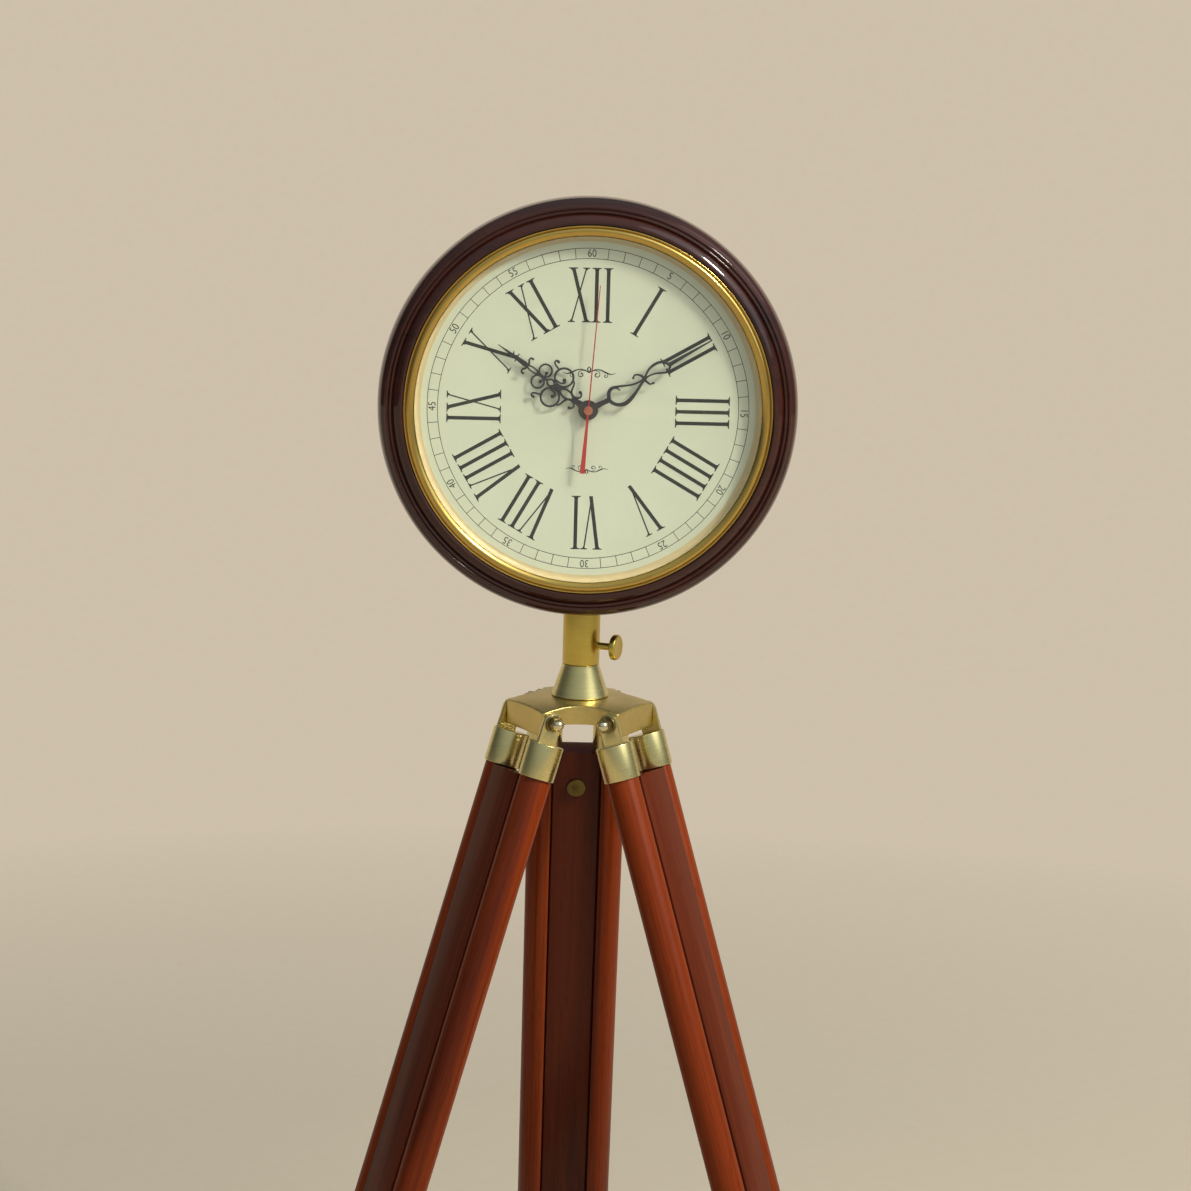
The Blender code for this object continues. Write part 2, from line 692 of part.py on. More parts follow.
def oval(share, grow, start, end, steps=ARC_STEPS):
    """Points round one of the minute hand's loops, grown by this much."""
    across, along, half_width, half_length = [value * MINUTE_HAND_LENGTH for value in share]
    return [
        (across + (half_width + grow) * x, along + (half_length + grow) * y)
        for x, y in arc((0, 0), 1, start, end, steps)
    ]


def minute_outline():
    """The minute hand's edge: hub, two leaf-shaped loops and a long blade."""
    first, second = MINUTE_LOOP_SHARES
    blade = MINUTE_BLADE_WIDTH / 2
    blade_foot = (second[1] + second[3]) * MINUTE_HAND_LENGTH + blade
    side = math.radians(78)
    right = oval(first, 0, -side, side) + oval(second, 0, -side, side) + [(blade, blade_foot)]
    left = oval(first, 0, math.pi - side, math.pi + side) + [(-HUB_RADIUS / 2, HUB_RADIUS)]
    left = [(-blade, blade_foot)] + oval(second, 0, math.pi - side, math.pi + side) + left
    hub = arc((0, 0), HUB_RADIUS, math.radians(120), math.radians(420))
    return hub + right + [(0, MINUTE_HAND_LENGTH)] + left[:-1]


def minute_holes():
    return [
        oval(share, -MINUTE_LOOP_WALL, 0, 2 * math.pi, 2 * ARC_STEPS)[:-1]
        for share in MINUTE_LOOP_SHARES
    ]


def second_outline():
    needle, tail = SECOND_NEEDLE_WIDTH / 2, SECOND_TAIL_WIDTH / 2
    side = [(tail, -SECOND_TAIL_LENGTH), (needle, -HUB_CAP_RADIUS)]
    side += arc((0, 0), HUB_CAP_RADIUS, math.radians(-70), math.radians(80))
    side += [(needle, HUB_CAP_RADIUS + needle), (needle / 2, SECOND_HAND_LENGTH)]
    return side + mirrored(side)


def make_hand(name, outlines, bore, radius, back, frame, angle, material):
    """A flat hand pressed on its tubular arbor, which runs back into the movement."""
    pivot = (0, 0, back)
    turn = (0, 0, -angle)
    if bore:
        outlines = [*outlines, circle((0, 0), (bore + radius) / 2)]
    hand = flat(name, outlines, HAND_THICKNESS, frame, pivot, turn, material)
    tail = MOVEMENT_FRONT - ARBOR_DEPTH - back
    front = HAND_THICKNESS / 2
    outline = [(radius, front), (radius, tail)]
    if bore:
        outline += [(bore, tail), (bore, front)]
    else:
        outline = [(0, front), *outline, (0, tail)]
    arbor = turned(name + "_arbor", outline, frame, pivot, turn, steps=SMALL_STEPS, closed=bool(bore))
    join(hand, arbor)
    return hand


def make_hands(frame):
    make_hand(
        "hour_hand",
        [hour_outline(), *hour_holes()],
        HOUR_BORE,
        HOUR_ARBOR_RADIUS,
        HOUR_BACK,
        frame,
        HOUR_ANGLE,
        BLACK_METAL,
    )
    make_hand(
        "minute_hand",
        [minute_outline(), *minute_holes()],
        MINUTE_BORE,
        MINUTE_ARBOR_RADIUS,
        MINUTE_BACK,
        frame,
        MINUTE_ANGLE,
        BLACK_METAL,
    )
    second = make_hand(
        "second_hand",
        [second_outline()],
        0,
        SECOND_ARBOR_RADIUS,
        SECOND_BACK,
        frame,
        SECOND_ANGLE,
        RED_METAL,
    )
    cap = rod(
        "second_cap",
        HUB_CAP_RADIUS - HUB_CAP_HEIGHT / 2,
        HAND_THICKNESS / 2 + HUB_CAP_HEIGHT,
        frame,
        (0, 0, SECOND_BACK + HAND_THICKNESS / 2),
        tip=HUB_CAP_RADIUS - 2 * HUB_CAP_HEIGHT,
    )
    join(second, cap)


def make_movement(frame):
    """The quartz movement's black housing, with its threaded bush in front and its battery bay behind."""
    half_bay = BATTERY_LENGTH / 2 + BATTERY_TIP_LENGTH
    half_width, half_height = half_bay + BATTERY_BAY_END, MOVEMENT_HEIGHT / 2
    housing = box(
        "movement_case",
        (-half_width, -half_height, MOVEMENT_BACK),
        (half_width, half_height, MOVEMENT_FRONT),
        frame,
        BLACK_PLASTIC,
    )
    bush_foot = MOVEMENT_FRONT - OVERRUN
    bush = rod("bush", BUSH_RADIUS, BUSH_FRONT - bush_foot, frame, (0, 0, bush_foot))
    join(housing, bush)
    bore_foot = MOVEMENT_FRONT - ARBOR_DEPTH - GAP
    arbor_hole = rod("arbor_cut", BUSH_BORE, BUSH_FRONT - bore_foot + OVERRUN, frame, (0, 0, bore_foot))
    bay_radius = BATTERY_RADIUS + GAP
    bay_floor = MOVEMENT_BACK + BATTERY_RADIUS + bay_radius
    bay = box(
        "battery_bay_cut",
        (-half_bay, battery_up() - bay_radius, MOVEMENT_BACK - OVERRUN),
        (half_bay, battery_up() + bay_radius, bay_floor),
        frame,
    )
    wheel_hole = rod(
        "set_wheel_cut",
        SET_WHEEL_ARBOR_RADIUS + GAP,
        SET_WHEEL_ARBOR_LENGTH + OVERRUN,
        frame,
        (SET_WHEEL_ACROSS, SET_WHEEL_UP, MOVEMENT_BACK - OVERRUN),
    )
    cut(housing, arbor_hole, bay, wheel_hole)


def battery_up():
    """Height of the battery's axis from the dial's centre: low in the housing."""
    return -MOVEMENT_HEIGHT / 2 + BATTERY_BAY_WALL + BATTERY_RADIUS + GAP


def make_battery(frame):
    """A round cell lying across the bottom of the movement, its small contact to the right."""
    half = BATTERY_LENGTH / 2
    outline = [
        (0, half),
        (BATTERY_TIP_RADIUS, half),
        (BATTERY_TIP_RADIUS, half - BATTERY_TIP_LENGTH),
        (BATTERY_RADIUS - BATTERY_EDGE / 2, half - BATTERY_TIP_LENGTH),
        (BATTERY_RADIUS, half - BATTERY_TIP_LENGTH - BATTERY_EDGE),
        (BATTERY_RADIUS, -half),
        (0, -half),
    ]
    place = (0, battery_up(), MOVEMENT_BACK + BATTERY_RADIUS)
    turned("battery", outline, frame, place, (0, math.pi / 2, 0), BATTERY_SLEEVE, closed=False)


def make_hand_nut(frame):
    """The six-sided brass nut that clamps the dial to the movement, under the hands."""
    back = DIAL_FRONT + GAP
    corner = BUSH_HOLE + HAND_NUT_WALL
    nut = rod("hand_nut", corner, HAND_NUT_THICKNESS, frame, (0, 0, back), material=BRASS, steps=6)
    through = HAND_NUT_THICKNESS + 2 * OVERRUN
    hole = rod("hand_nut_cut", BUSH_HOLE, through, frame, (0, 0, back - OVERRUN))
    cut(nut, hole)


def make_set_wheel(frame):
    """The toothed finger wheel behind the movement that sets the hands."""
    outline = []
    for i in range(SET_WHEEL_TEETH):
        turn = 2 * math.pi * i / SET_WHEEL_TEETH
        half_pitch = math.pi / SET_WHEEL_TEETH
        for reach, shift in ((SET_WHEEL_RADIUS, -half_pitch / 2), (SET_WHEEL_RADIUS, half_pitch / 2)):
            outline.append((reach * math.cos(turn + shift), reach * math.sin(turn + shift)))
        inner = SET_WHEEL_RADIUS - SET_WHEEL_TOOTH
        outline.append((inner * math.cos(turn + half_pitch), inner * math.sin(turn + half_pitch)))
    place = (SET_WHEEL_ACROSS, SET_WHEEL_UP, MOVEMENT_BACK - GAP - SET_WHEEL_THICKNESS)
    wheel = flat("set_wheel", [outline], SET_WHEEL_THICKNESS, frame, place, material=WHITE_PLASTIC)
    arbor = rod(
        "set_wheel_arbor",
        SET_WHEEL_ARBOR_RADIUS,
        SET_WHEEL_THICKNESS / 2 + SET_WHEEL_ARBOR_LENGTH,
        frame,
        (place[0], place[1], place[2] + SET_WHEEL_THICKNESS / 2),
    )
    join(wheel, arbor)


# Neck


def make_sleeve(frame):
    """The brass tube under the case: it drops over the post, and its plug is bored for the bolt."""
    bolt_bore = NECK_BOLT_RADIUS + GAP
    outline = [
        (bolt_bore, SLEEVE_TOP),
        (SLEEVE_RADIUS, SLEEVE_TOP),
        (SLEEVE_RADIUS, SLEEVE_BOTTOM),
        (SLEEVE_BORE, SLEEVE_BOTTOM),
        (SLEEVE_BORE, SLEEVE_STEP),
        (bolt_bore, SLEEVE_STEP),
    ]
    sleeve = turned("neck_sleeve", outline, frame, material=BRASS)
    screw_hole = rod(
        "neck_screw_cut",
        THUMB_HOLE_RADIUS,
        SLEEVE_WALL + 2 * OVERRUN,
        frame,
        neck_screw_place(SLEEVE_BORE - OVERRUN),
        (0, math.pi / 2, NECK_SCREW_TURN),
    )
    cut(sleeve, screw_hole)


def neck_screw_place(outward):
    """A point on the neck screw's axis, this far out from the post's axis."""
    return (
        outward * math.cos(NECK_SCREW_TURN),
        outward * math.sin(NECK_SCREW_TURN),
        SLEEVE_BOTTOM + NECK_SCREW_UP,
    )


def make_neck_bolt(frame):
    """The bolt inside the case that draws the sleeve up into its socket."""
    bore_rise = CASE_BORE_RADIUS - math.sqrt(CASE_BORE_RADIUS**2 - NECK_BOLT_HEAD_RADIUS**2)
    seat = DIAL_CENTRE - CASE_BORE_RADIUS + bore_rise + GAP
    outline = [
        (0, seat + NECK_BOLT_HEAD_HEIGHT),
        (NECK_BOLT_HEAD_RADIUS, seat + NECK_BOLT_HEAD_HEIGHT),
        (NECK_BOLT_HEAD_RADIUS, seat),
        (NECK_BOLT_RADIUS, seat),
        (NECK_BOLT_RADIUS, SLEEVE_TOP - NECK_BOLT_GRIP),
        (0, SLEEVE_TOP - NECK_BOLT_GRIP),
    ]
    turned("neck_bolt", outline, frame, material=STEEL, steps=SMALL_STEPS, closed=False)


def thumb_screw(name, shank_start, shank_end, parent, location, rotation):
    """A round-headed thumb screw along local Z, its tip at the start and its head past the end."""
    head_top = shank_end + THUMB_HEAD_THICKNESS
    rim = THUMB_HEAD_RADIUS
    outline = [
        (0, head_top),
        (rim - THUMB_HEAD_EDGE, head_top),
        (rim, head_top - THUMB_HEAD_EDGE),
        (rim, shank_end + THUMB_HEAD_EDGE),
        (rim - THUMB_HEAD_EDGE, shank_end),
        (THUMB_SHANK_RADIUS, shank_end),
        (THUMB_SHANK_RADIUS, shank_start),
        (0, shank_start),
    ]
    turned(name, outline, parent, location, rotation, BRASS, steps=SMALL_STEPS, closed=False)


def make_neck_screw(frame):
    thumb_screw(
        "neck_thumb_screw",
        POST_RADIUS + GAP,
        SLEEVE_RADIUS + THUMB_SHANK_LENGTH,
        frame,
        neck_screw_place(0),
        (0, math.pi / 2, NECK_SCREW_TURN),
    )


def make_post(frame):
    """The fixed post inside the sleeve, with a stud that holds it down through the casting."""
    stud_end = PLATE_BOTTOM - GAP - CENTRE_NUT_HEIGHT - STUD_TIP
    outline = [
        (0, POST_TOP),
        (POST_RADIUS, POST_TOP),
        (POST_RADIUS, CONE_BOTTOM),
        (STUD_RADIUS, CONE_BOTTOM),
        (STUD_RADIUS, stud_end),
        (0, stud_end),
    ]
    turned("centre_post", outline, frame, material=STEEL, closed=False)


def make_cone(frame):
    outline = [
        (SLEEVE_BORE, CONE_TOP),
        (SLEEVE_RADIUS, CONE_TOP),
        (CONE_BASE_RADIUS, CONE_BOTTOM + CONE_EDGE),
        (CONE_BASE_RADIUS - CONE_EDGE / 2, CONE_BOTTOM),
        (SLEEVE_BORE, CONE_BOTTOM),
    ]
    turned("head_cone", outline, frame, material=BRASS, steps=TUBE_STEPS)


def make_centre_nut(frame):
    low = PLATE_BOTTOM - GAP - CENTRE_NUT_HEIGHT
    height = CENTRE_NUT_HEIGHT
    nut = rod("centre_nut", CENTRE_NUT_RADIUS, height, frame, (0, 0, low), material=STEEL, steps=6)
    hole = rod("centre_nut_cut", STUD_RADIUS + GAP, height + 2 * OVERRUN, frame, (0, 0, low - OVERRUN))
    cut(nut, hole)


# Tripod head


def head_outline(inset):
    """Plan of the casting: three lobes with flat sides, joined by hollow curves, set in by a wall."""
    half = LOBE_HALF_WIDTH - inset
    reach = LOBE_REACH - inset
    points = []
    for azimuth in LEG_AZIMUTHS.values():
        points += [radial(azimuth, LOBE_ROOT, -half), radial(azimuth, reach, -half)]
        points += [radial(azimuth, reach, half), radial(azimuth, LOBE_ROOT, half)]
        points += scallop(azimuth + 60.0, half)
    return points


def half_chord(half):
    """Half the width of the hollow curve between two lobes of this half width."""
    sixty = math.radians(60.0)
    return LOBE_ROOT * math.sin(sixty) - half * math.cos(sixty)


def scallop(azimuth, half):
    """The hollow curve between two lobes, tangent to their flat sides, without its ends."""
    sixty, thirty = math.radians(60.0), math.radians(30.0)
    out = LOBE_ROOT * math.cos(sixty) + half * math.sin(sixty)
    radius = half_chord(half) / math.sin(thirty)
    centre = out + radius * math.cos(thirty)
    turns = [thirty * (1 - 2 * i / ARC_STEPS) for i in range(1, ARC_STEPS)]
    return [radial(azimuth, centre - radius * math.cos(t), -radius * math.sin(t)) for t in turns]


def head_dome(low, frame):
    """The casting's rounded top: level under the cone, then drooping to the ends of the lobes."""
    corner = math.hypot(LOBE_REACH, LOBE_HALF_WIDTH)
    slope_width = corner - CONE_BASE_RADIUS
    steps = ARC_STEPS // 2
    slope = [i / steps for i in range(steps + 1)]
    outline = [(0, PLATE_TOP)]
    outline += [(CONE_BASE_RADIUS + slope_width * s, PLATE_TOP - HEAD_DROOP * s**2) for s in slope]
    outline += [(corner + OVERRUN, PLATE_TOP - HEAD_DROOP), (corner + OVERRUN, low - OVERRUN)]
    outline += [(0, low - OVERRUN)]
    return turned("head_dome", outline, frame, steps=DOME_STEPS, closed=False)


def arch_outline():
    """The opening cut under the skirt between two lobes: its top is level and its corners slope."""
    rise = HEAD_DEPTH - HEAD_SCALLOP_DEPTH
    half = half_chord(LOBE_HALF_WIDTH) - HEAD_ARCH_MARGIN
    corner = HEAD_ARCH_CORNER
    return [
        (OVERRUN, -half),
        (corner - rise, -half),
        (-rise, corner - half),
        (-rise, half - corner),
        (corner - rise, half),
        (OVERRUN, half),
    ]


def make_head(frame):
    """The casting: a rounded plate with a skirt, hollow below and deeper at the legs' lobes."""
    low = PLATE_TOP - HEAD_DEPTH
    height = HEAD_DEPTH + OVERRUN
    casting = flat("head_casting", [head_outline(0)], height, frame, (0, 0, low), material=BRASS)
    shape(casting, "INTERSECT", head_dome(low, frame))
    hollow = flat(
        "head_hollow_cut",
        [head_outline(HEAD_WALL)],
        HEAD_DEPTH - HEAD_PLATE_THICKNESS + OVERRUN,
        frame,
        (0, 0, low - OVERRUN),
    )
    through = HEAD_PLATE_THICKNESS + 2 * OVERRUN
    stud_hole = rod("stud_cut", STUD_RADIUS + GAP, through, frame, (0, 0, PLATE_BOTTOM - OVERRUN))
    cut(casting, hollow, stud_hole)
    for name, azimuth in LEG_AZIMUTHS.items():
        sideways = (0, math.pi / 2, math.radians(azimuth + 60.0))
        arch = flat(f"arch_cut_{name}", [arch_outline()], LOBE_REACH, frame, (0, 0, low), sideways)
        bolt_hole = rod(
            f"bolt_cut_{name}",
            HOLE_RADIUS,
            2 * (LOBE_HALF_WIDTH + OVERRUN),
            frame,
            (*radial(azimuth, HINGE_RADIUS, LOBE_HALF_WIDTH + OVERRUN), 0),
            (math.pi / 2, 0, math.radians(azimuth)),
        )
        cut(casting, arch, bolt_hole)


# Legs


def leg_frame(name, azimuth, base):
    """An empty on the leg's hinge line: X out of the leg, Y along the hinge, Z up the leg."""
    place = (*radial(azimuth, HINGE_RADIUS, 0), 0)
    return new_empty(f"leg_{name}_frame", base, place, (0, -LEG_TILT, math.radians(azimuth)))


def make_ferrule(name, side, frame):
    """A brass cup over the rail's end, with the flat tang that pivots beside the lobe."""
    outline = [
        (0, -FERRULE_DROP),
        (FERRULE_RADIUS, -FERRULE_DROP),
        (FERRULE_RADIUS, -FERRULE_BOTTOM),
        (FERRULE_RADIUS - FERRULE_WALL, -FERRULE_BOTTOM),
        (FERRULE_RADIUS - FERRULE_WALL, -FERRULE_DROP - FERRULE_TOP),
        (0, -FERRULE_DROP - FERRULE_TOP),
    ]
    cup = turned(name, outline, frame, (-LEG_INSET, side * RAIL_ACROSS, 0), material=BRASS, closed=False)
    half = TANG_WIDTH / 2
    foot = -FERRULE_DROP - FERRULE_TOP / 2
    edge = [(half, foot), *arc((0, 0), half, 0, math.pi), (-half, foot)]
    tang = flat(
        name + "_tang",
        [edge, circle((0, 0), HOLE_RADIUS)],
        TANG_THICKNESS,
        frame,
        (0, side * TANG_ACROSS + TANG_THICKNESS / 2, 0),
        (math.pi / 2, 0, 0),
    )
    join(cup, tang)


def make_rail(name, side, frame):
    """A round wooden rail, flat and grooved on the side that faces the centre board."""
    cut_angle = math.acos(RAIL_FLAT / RAIL_RADIUS)
    groove = -side * BOARD_OUTSET
    half = TONGUE_THICKNESS / 2 + GAP
    groove_floor = RAIL_FLAT - TONGUE_DEPTH - GAP
    edge = arc((0, 0), RAIL_RADIUS, math.pi - cut_angle, -math.pi + cut_angle, 2 * ARC_STEPS)
    edge += [(-RAIL_FLAT, groove - half), (-groove_floor, groove - half)]
    edge += [(-groove_floor, groove + half), (-RAIL_FLAT, groove + half)]
    turn = (0, 0, side * math.pi / 2)
    place = (-LEG_INSET, side * RAIL_ACROSS, -RAIL_BOTTOM)
    flat(name, [edge], RAIL_LENGTH, frame, place, turn, LEG_WOOD)


def make_board(name, frame):
    """The sliding centre board, with a tongue along each edge."""
    half, tongue = BOARD_THICKNESS / 2, TONGUE_THICKNESS / 2
    side = [(tongue, TONGUE_HALF_WIDTH), (tongue, BOARD_HALF_WIDTH), (half, BOARD_HALF_WIDTH)]
    side += [(x, -y) for x, y in reversed(side)]
    edge = side + [(-x, -y) for x, y in side]
    flat(name, [edge], BOARD_LENGTH, frame, (BOARD_PLACE, 0, -BOARD_BOTTOM), material=LEG_WOOD)


def make_board_disc(name, frame):
    """A brass disc with its screw, on the board's inner face near its top."""
    face = BOARD_PLACE - BOARD_THICKNESS / 2 - GAP
    top = DISC_THICKNESS + DISC_SCREW_HEIGHT
    outline = [
        (0, top),
        (DISC_SCREW_RADIUS / 2, top),
        (DISC_SCREW_RADIUS, DISC_THICKNESS + DISC_SCREW_HEIGHT / 3),
        (DISC_SCREW_RADIUS, DISC_THICKNESS),
        (DISC_RADIUS - DISC_THICKNESS / 3, DISC_THICKNESS),
        (DISC_RADIUS, DISC_THICKNESS * 2 / 3),
        (DISC_RADIUS, 0),
        (0, 0),
    ]
    place = (face, 0, -BOARD_TOP - DISC_DROP)
    turned(name, outline, frame, place, (0, -math.pi / 2, 0), BRASS, steps=SMALL_STEPS, closed=False)


def make_collar(name, frame):
    """The brass band round the rails' lower ends, with a tapped boss for the clamp screw."""
    edge = stadium(RAIL_ACROSS, COLLAR_RADIUS)
    hollow = stadium(RAIL_ACROSS, COLLAR_BORE)
    place = (-LEG_INSET, 0, -RAIL_BOTTOM)
    collar = flat(name, [edge, hollow], COLLAR_HEIGHT, frame, place, material=BRASS)
    inner_face = -LEG_INSET + COLLAR_BORE
    sideways = (0, math.pi / 2, 0)
    boss = rod(
        name + "_boss",
        COLLAR_BOSS_RADIUS,
        COLLAR_WALL / 2 + COLLAR_BOSS_LENGTH,
        frame,
        (inner_face + COLLAR_WALL / 2, 0, -COLLAR_MIDDLE),
        sideways,
    )
    hole = rod(
        name + "_cut",
        THUMB_HOLE_RADIUS,
        COLLAR_WALL + COLLAR_BOSS_LENGTH + 2 * OVERRUN,
        frame,
        (inner_face - OVERRUN, 0, -COLLAR_MIDDLE),
        sideways,
    )
    join(collar, boss)
    cut(collar, hole)


def stadium(half_length, radius):
    """A slot shape along Y with round ends."""
    upper = arc((0, half_length), radius, 0, math.pi)
    return upper + [(-x, -y) for x, y in upper]


def make_clamp_screw(name, frame):
    """The thumb screw in the collar: its tip bears on the centre board."""
    tip = BOARD_PLACE + BOARD_THICKNESS / 2 + GAP
    head = -LEG_INSET + COLLAR_RADIUS + COLLAR_BOSS_LENGTH + THUMB_SHANK_RADIUS
    thumb_screw(name, tip, head, frame, (0, 0, -COLLAR_MIDDLE), (0, math.pi / 2, 0))


def make_bolt(name, side, frame):
    """The hinge bolt through both tangs and the lobe, its head on one side and its end in the nut."""
    outside = TANG_OUTSIDE + GAP
    end = outside + ACORN_BORE_DEPTH - GAP
    outline = [
        (0, outside + BOLT_HEAD_HEIGHT),
        (BOLT_HEAD_RADIUS / 2, outside + BOLT_HEAD_HEIGHT),
        (BOLT_HEAD_RADIUS, outside + BOLT_HEAD_HEIGHT / 2),
        (BOLT_HEAD_RADIUS, outside),
        (BOLT_RADIUS, outside),
        (BOLT_RADIUS, -end),
        (0, -end),
    ]
    turn = (side * math.pi / 2, 0, 0)
    turned(name, outline, frame, rotation=turn, material=STEEL, steps=SMALL_STEPS, closed=False)


def make_acorn_nut(name, side, frame):
    """A domed nut on the bolt's end: a round flange, six flats, then a round cap."""
    outside = TANG_OUTSIDE + GAP
    turn = (-side * math.pi / 2, 0, 0)
    place = (0, side * outside, 0)
    nut = rod(name, ACORN_HEX_RADIUS, ACORN_HEX_HEIGHT, frame, place, turn, BRASS, steps=6)
    flange = rod(
        name + "_flange",
        ACORN_FLANGE_RADIUS,
        ACORN_FLANGE_THICKNESS,
        frame,
        place,
        turn,
        steps=SMALL_STEPS,
    )
    quarter = arc((0, ACORN_HEX_HEIGHT), ACORN_DOME_RADIUS, math.pi / 2, 0, ARC_STEPS // 2)
    foot = ACORN_HEX_HEIGHT / 2
    outline = [(0, quarter[0][1]), *quarter[1:], (ACORN_DOME_RADIUS, foot), (0, foot)]
    dome = turned(name + "_dome", outline, frame, place, turn, steps=SMALL_STEPS, closed=False)
    hole = rod(
        name + "_cut",
        HOLE_RADIUS,
        ACORN_BORE_DEPTH + OVERRUN,
        frame,
        (0, side * (outside - OVERRUN), 0),
        turn,
    )
    join(nut, flange, dome)
    cut(nut, hole)


def make_shoe(name, frame):
    """The brass cup over the centre board's lower end."""
    low = (BOARD_PLACE - SHOE_HALF_THICKNESS, -SHOE_HALF_WIDTH, -SHOE_BOTTOM)
    high = (BOARD_PLACE + SHOE_HALF_THICKNESS, SHOE_HALF_WIDTH, -SHOE_TOP)
    shoe = box(name, low, high, frame, BRASS)
    rounded(shoe, SHOE_WALL / 2, 1)
    hollow = box(
        name + "_cut",
        (low[0] + SHOE_WALL, low[1] + SHOE_WALL, low[2] + SHOE_FLOOR),
        (high[0] - SHOE_WALL, high[1] - SHOE_WALL, high[2] + OVERRUN),
        frame,
    )
    cut(shoe, hollow)


def make_pad(name, frame):
    """The rubber pad under the shoe, cut level so that it stands flat on the floor."""
    inner = BOARD_PLACE - PAD_HALF_THICKNESS
    outer = BOARD_PLACE + PAD_HALF_THICKNESS
    edge = [
        (inner, -PAD_TOP),
        (inner, floor_point(inner)),
        (outer, floor_point(outer)),
        (outer, -PAD_TOP),
    ]
    width = 2 * PAD_HALF_WIDTH
    flat(name, [edge], width, frame, (0, PAD_HALF_WIDTH, 0), (math.pi / 2, 0, 0), BLACK_RUBBER)


def make_leg(name, azimuth, base):
    """One leg: two rails in ferrules on a hinge bolt, with a sliding board clamped between them."""
    frame = leg_frame(name, azimuth, base)
    nut_side = -1 if name == "front_right" else 1
    for letter, side in (("left", 1), ("right", -1)):
        make_ferrule(f"ferrule_{name}_{letter}", side, frame)
        make_rail(f"rail_{name}_{letter}", side, frame)
    make_bolt(f"hinge_bolt_{name}", nut_side, frame)
    make_acorn_nut(f"acorn_nut_{name}", nut_side, frame)
    make_collar(f"collar_{name}", frame)
    make_clamp_screw(f"clamp_screw_{name}", frame)
    make_board(f"centre_board_{name}", frame)
    make_board_disc(f"board_disc_{name}", frame)
    make_shoe(f"shoe_{name}", frame)
    make_pad(f"pad_{name}", frame)


def make_clock_head(base):
    swivel = new_empty("clock_swivel", base)
    dial_frame = new_empty("dial_frame", swivel, (0, -BEZEL_FORWARD, DIAL_CENTRE), (math.pi / 2, 0, 0))
    make_bezel(dial_frame)
    make_glass(dial_frame)
    make_dial(dial_frame)
    make_case(dial_frame)
    make_back_board(dial_frame)
    make_movement(dial_frame)
    make_battery(dial_frame)
    make_hand_nut(dial_frame)
    make_set_wheel(dial_frame)
    make_hands(dial_frame)
    make_sleeve(swivel)
    make_neck_bolt(swivel)
    make_neck_screw(swivel)


def make_tripod_head(base):
    make_head(base)
    make_cone(base)
    make_post(base)
    make_centre_nut(base)


def main():
    back_reach, front_reach = foot_reach()
    base = new_empty("pole_axis", None, (0, (front_reach - back_reach) / 2, HINGE_HEIGHT))
    make_clock_head(base)
    make_tripod_head(base)
    for name, azimuth in LEG_AZIMUTHS.items():
        make_leg(name, azimuth, base)


main()
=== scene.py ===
"""The looks of the tripod floor clock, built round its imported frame.

Metres, +Z up. The clock faces -Y. Turned pieces are lathed about their own Z axis, and each
leg's pieces are made in the leg's own frame: X out of the leg, Y along its hinge, Z up the leg.
"""

import json
import math

import bmesh
import bpy
from mathutils import Matrix, Vector


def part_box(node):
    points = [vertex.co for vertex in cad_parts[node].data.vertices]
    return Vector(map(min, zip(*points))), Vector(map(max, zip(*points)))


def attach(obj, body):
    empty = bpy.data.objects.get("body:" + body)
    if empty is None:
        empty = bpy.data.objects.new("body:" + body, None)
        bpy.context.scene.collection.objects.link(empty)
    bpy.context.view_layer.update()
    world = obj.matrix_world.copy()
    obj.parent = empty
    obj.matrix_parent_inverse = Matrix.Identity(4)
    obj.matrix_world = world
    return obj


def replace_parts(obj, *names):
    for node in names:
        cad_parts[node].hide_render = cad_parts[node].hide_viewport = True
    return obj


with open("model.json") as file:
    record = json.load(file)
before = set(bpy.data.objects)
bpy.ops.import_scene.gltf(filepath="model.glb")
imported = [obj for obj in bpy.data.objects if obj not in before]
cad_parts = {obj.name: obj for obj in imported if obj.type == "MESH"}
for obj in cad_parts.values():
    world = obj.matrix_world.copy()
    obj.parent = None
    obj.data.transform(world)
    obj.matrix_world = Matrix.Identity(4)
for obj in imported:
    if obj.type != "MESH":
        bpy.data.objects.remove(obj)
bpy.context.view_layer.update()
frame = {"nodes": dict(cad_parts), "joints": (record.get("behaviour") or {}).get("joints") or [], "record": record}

MM = 0.001
LEGS = ("rear", "front_left", "front_right")
BACK_SCREWS = (1, 2, 3)

# Roundness and shading
FINE_STEPS = 192
ROUND_STEPS = 96
SMALL_STEPS = 48
COARSE_STEPS = 24
CREASE = math.radians(32)

# Sizes that the frame's boxes don't give
PLAY = 0.3 * MM
HAND_THICKNESS = 0.8 * MM
HAND_EDGE = 0.12 * MM
STROKE_WEIGHT = 1.16
CAP_HEIGHT = 0.6 * MM
SECOND_ARBOR = 0.5 * MM
MINUTE_BORE = 0.8 * MM
HOUR_BORE = 1.9 * MM
ARBOR_WALL = 0.8 * MM
SLEEVE_WALL = 3.2 * MM
SCREW_HOLE = 3.3 * MM
CASTING_ROOT = 37.5 * MM
CASTING_WALL = 5.0 * MM
CASTING_PLATE = 9.7 * MM
CASTING_DROOP = 5.5 * MM
CASTING_SKIRT = 17.0 * MM
ARCH_CORNER = 3.0 * MM
ARCH_MARGIN = 1.0 * MM
CASTING_VOXEL = 0.7 * MM
LEG_AZIMUTHS = (90.0, 210.0, 330.0)
BOLT_RADIUS = 3.0 * MM
BOLT_DOME = 4.0 * MM
TANG_THICKNESS = 4.0 * MM
FLANGE_THICKNESS = 1.5 * MM
HEX_RADIUS = 6.4 * MM
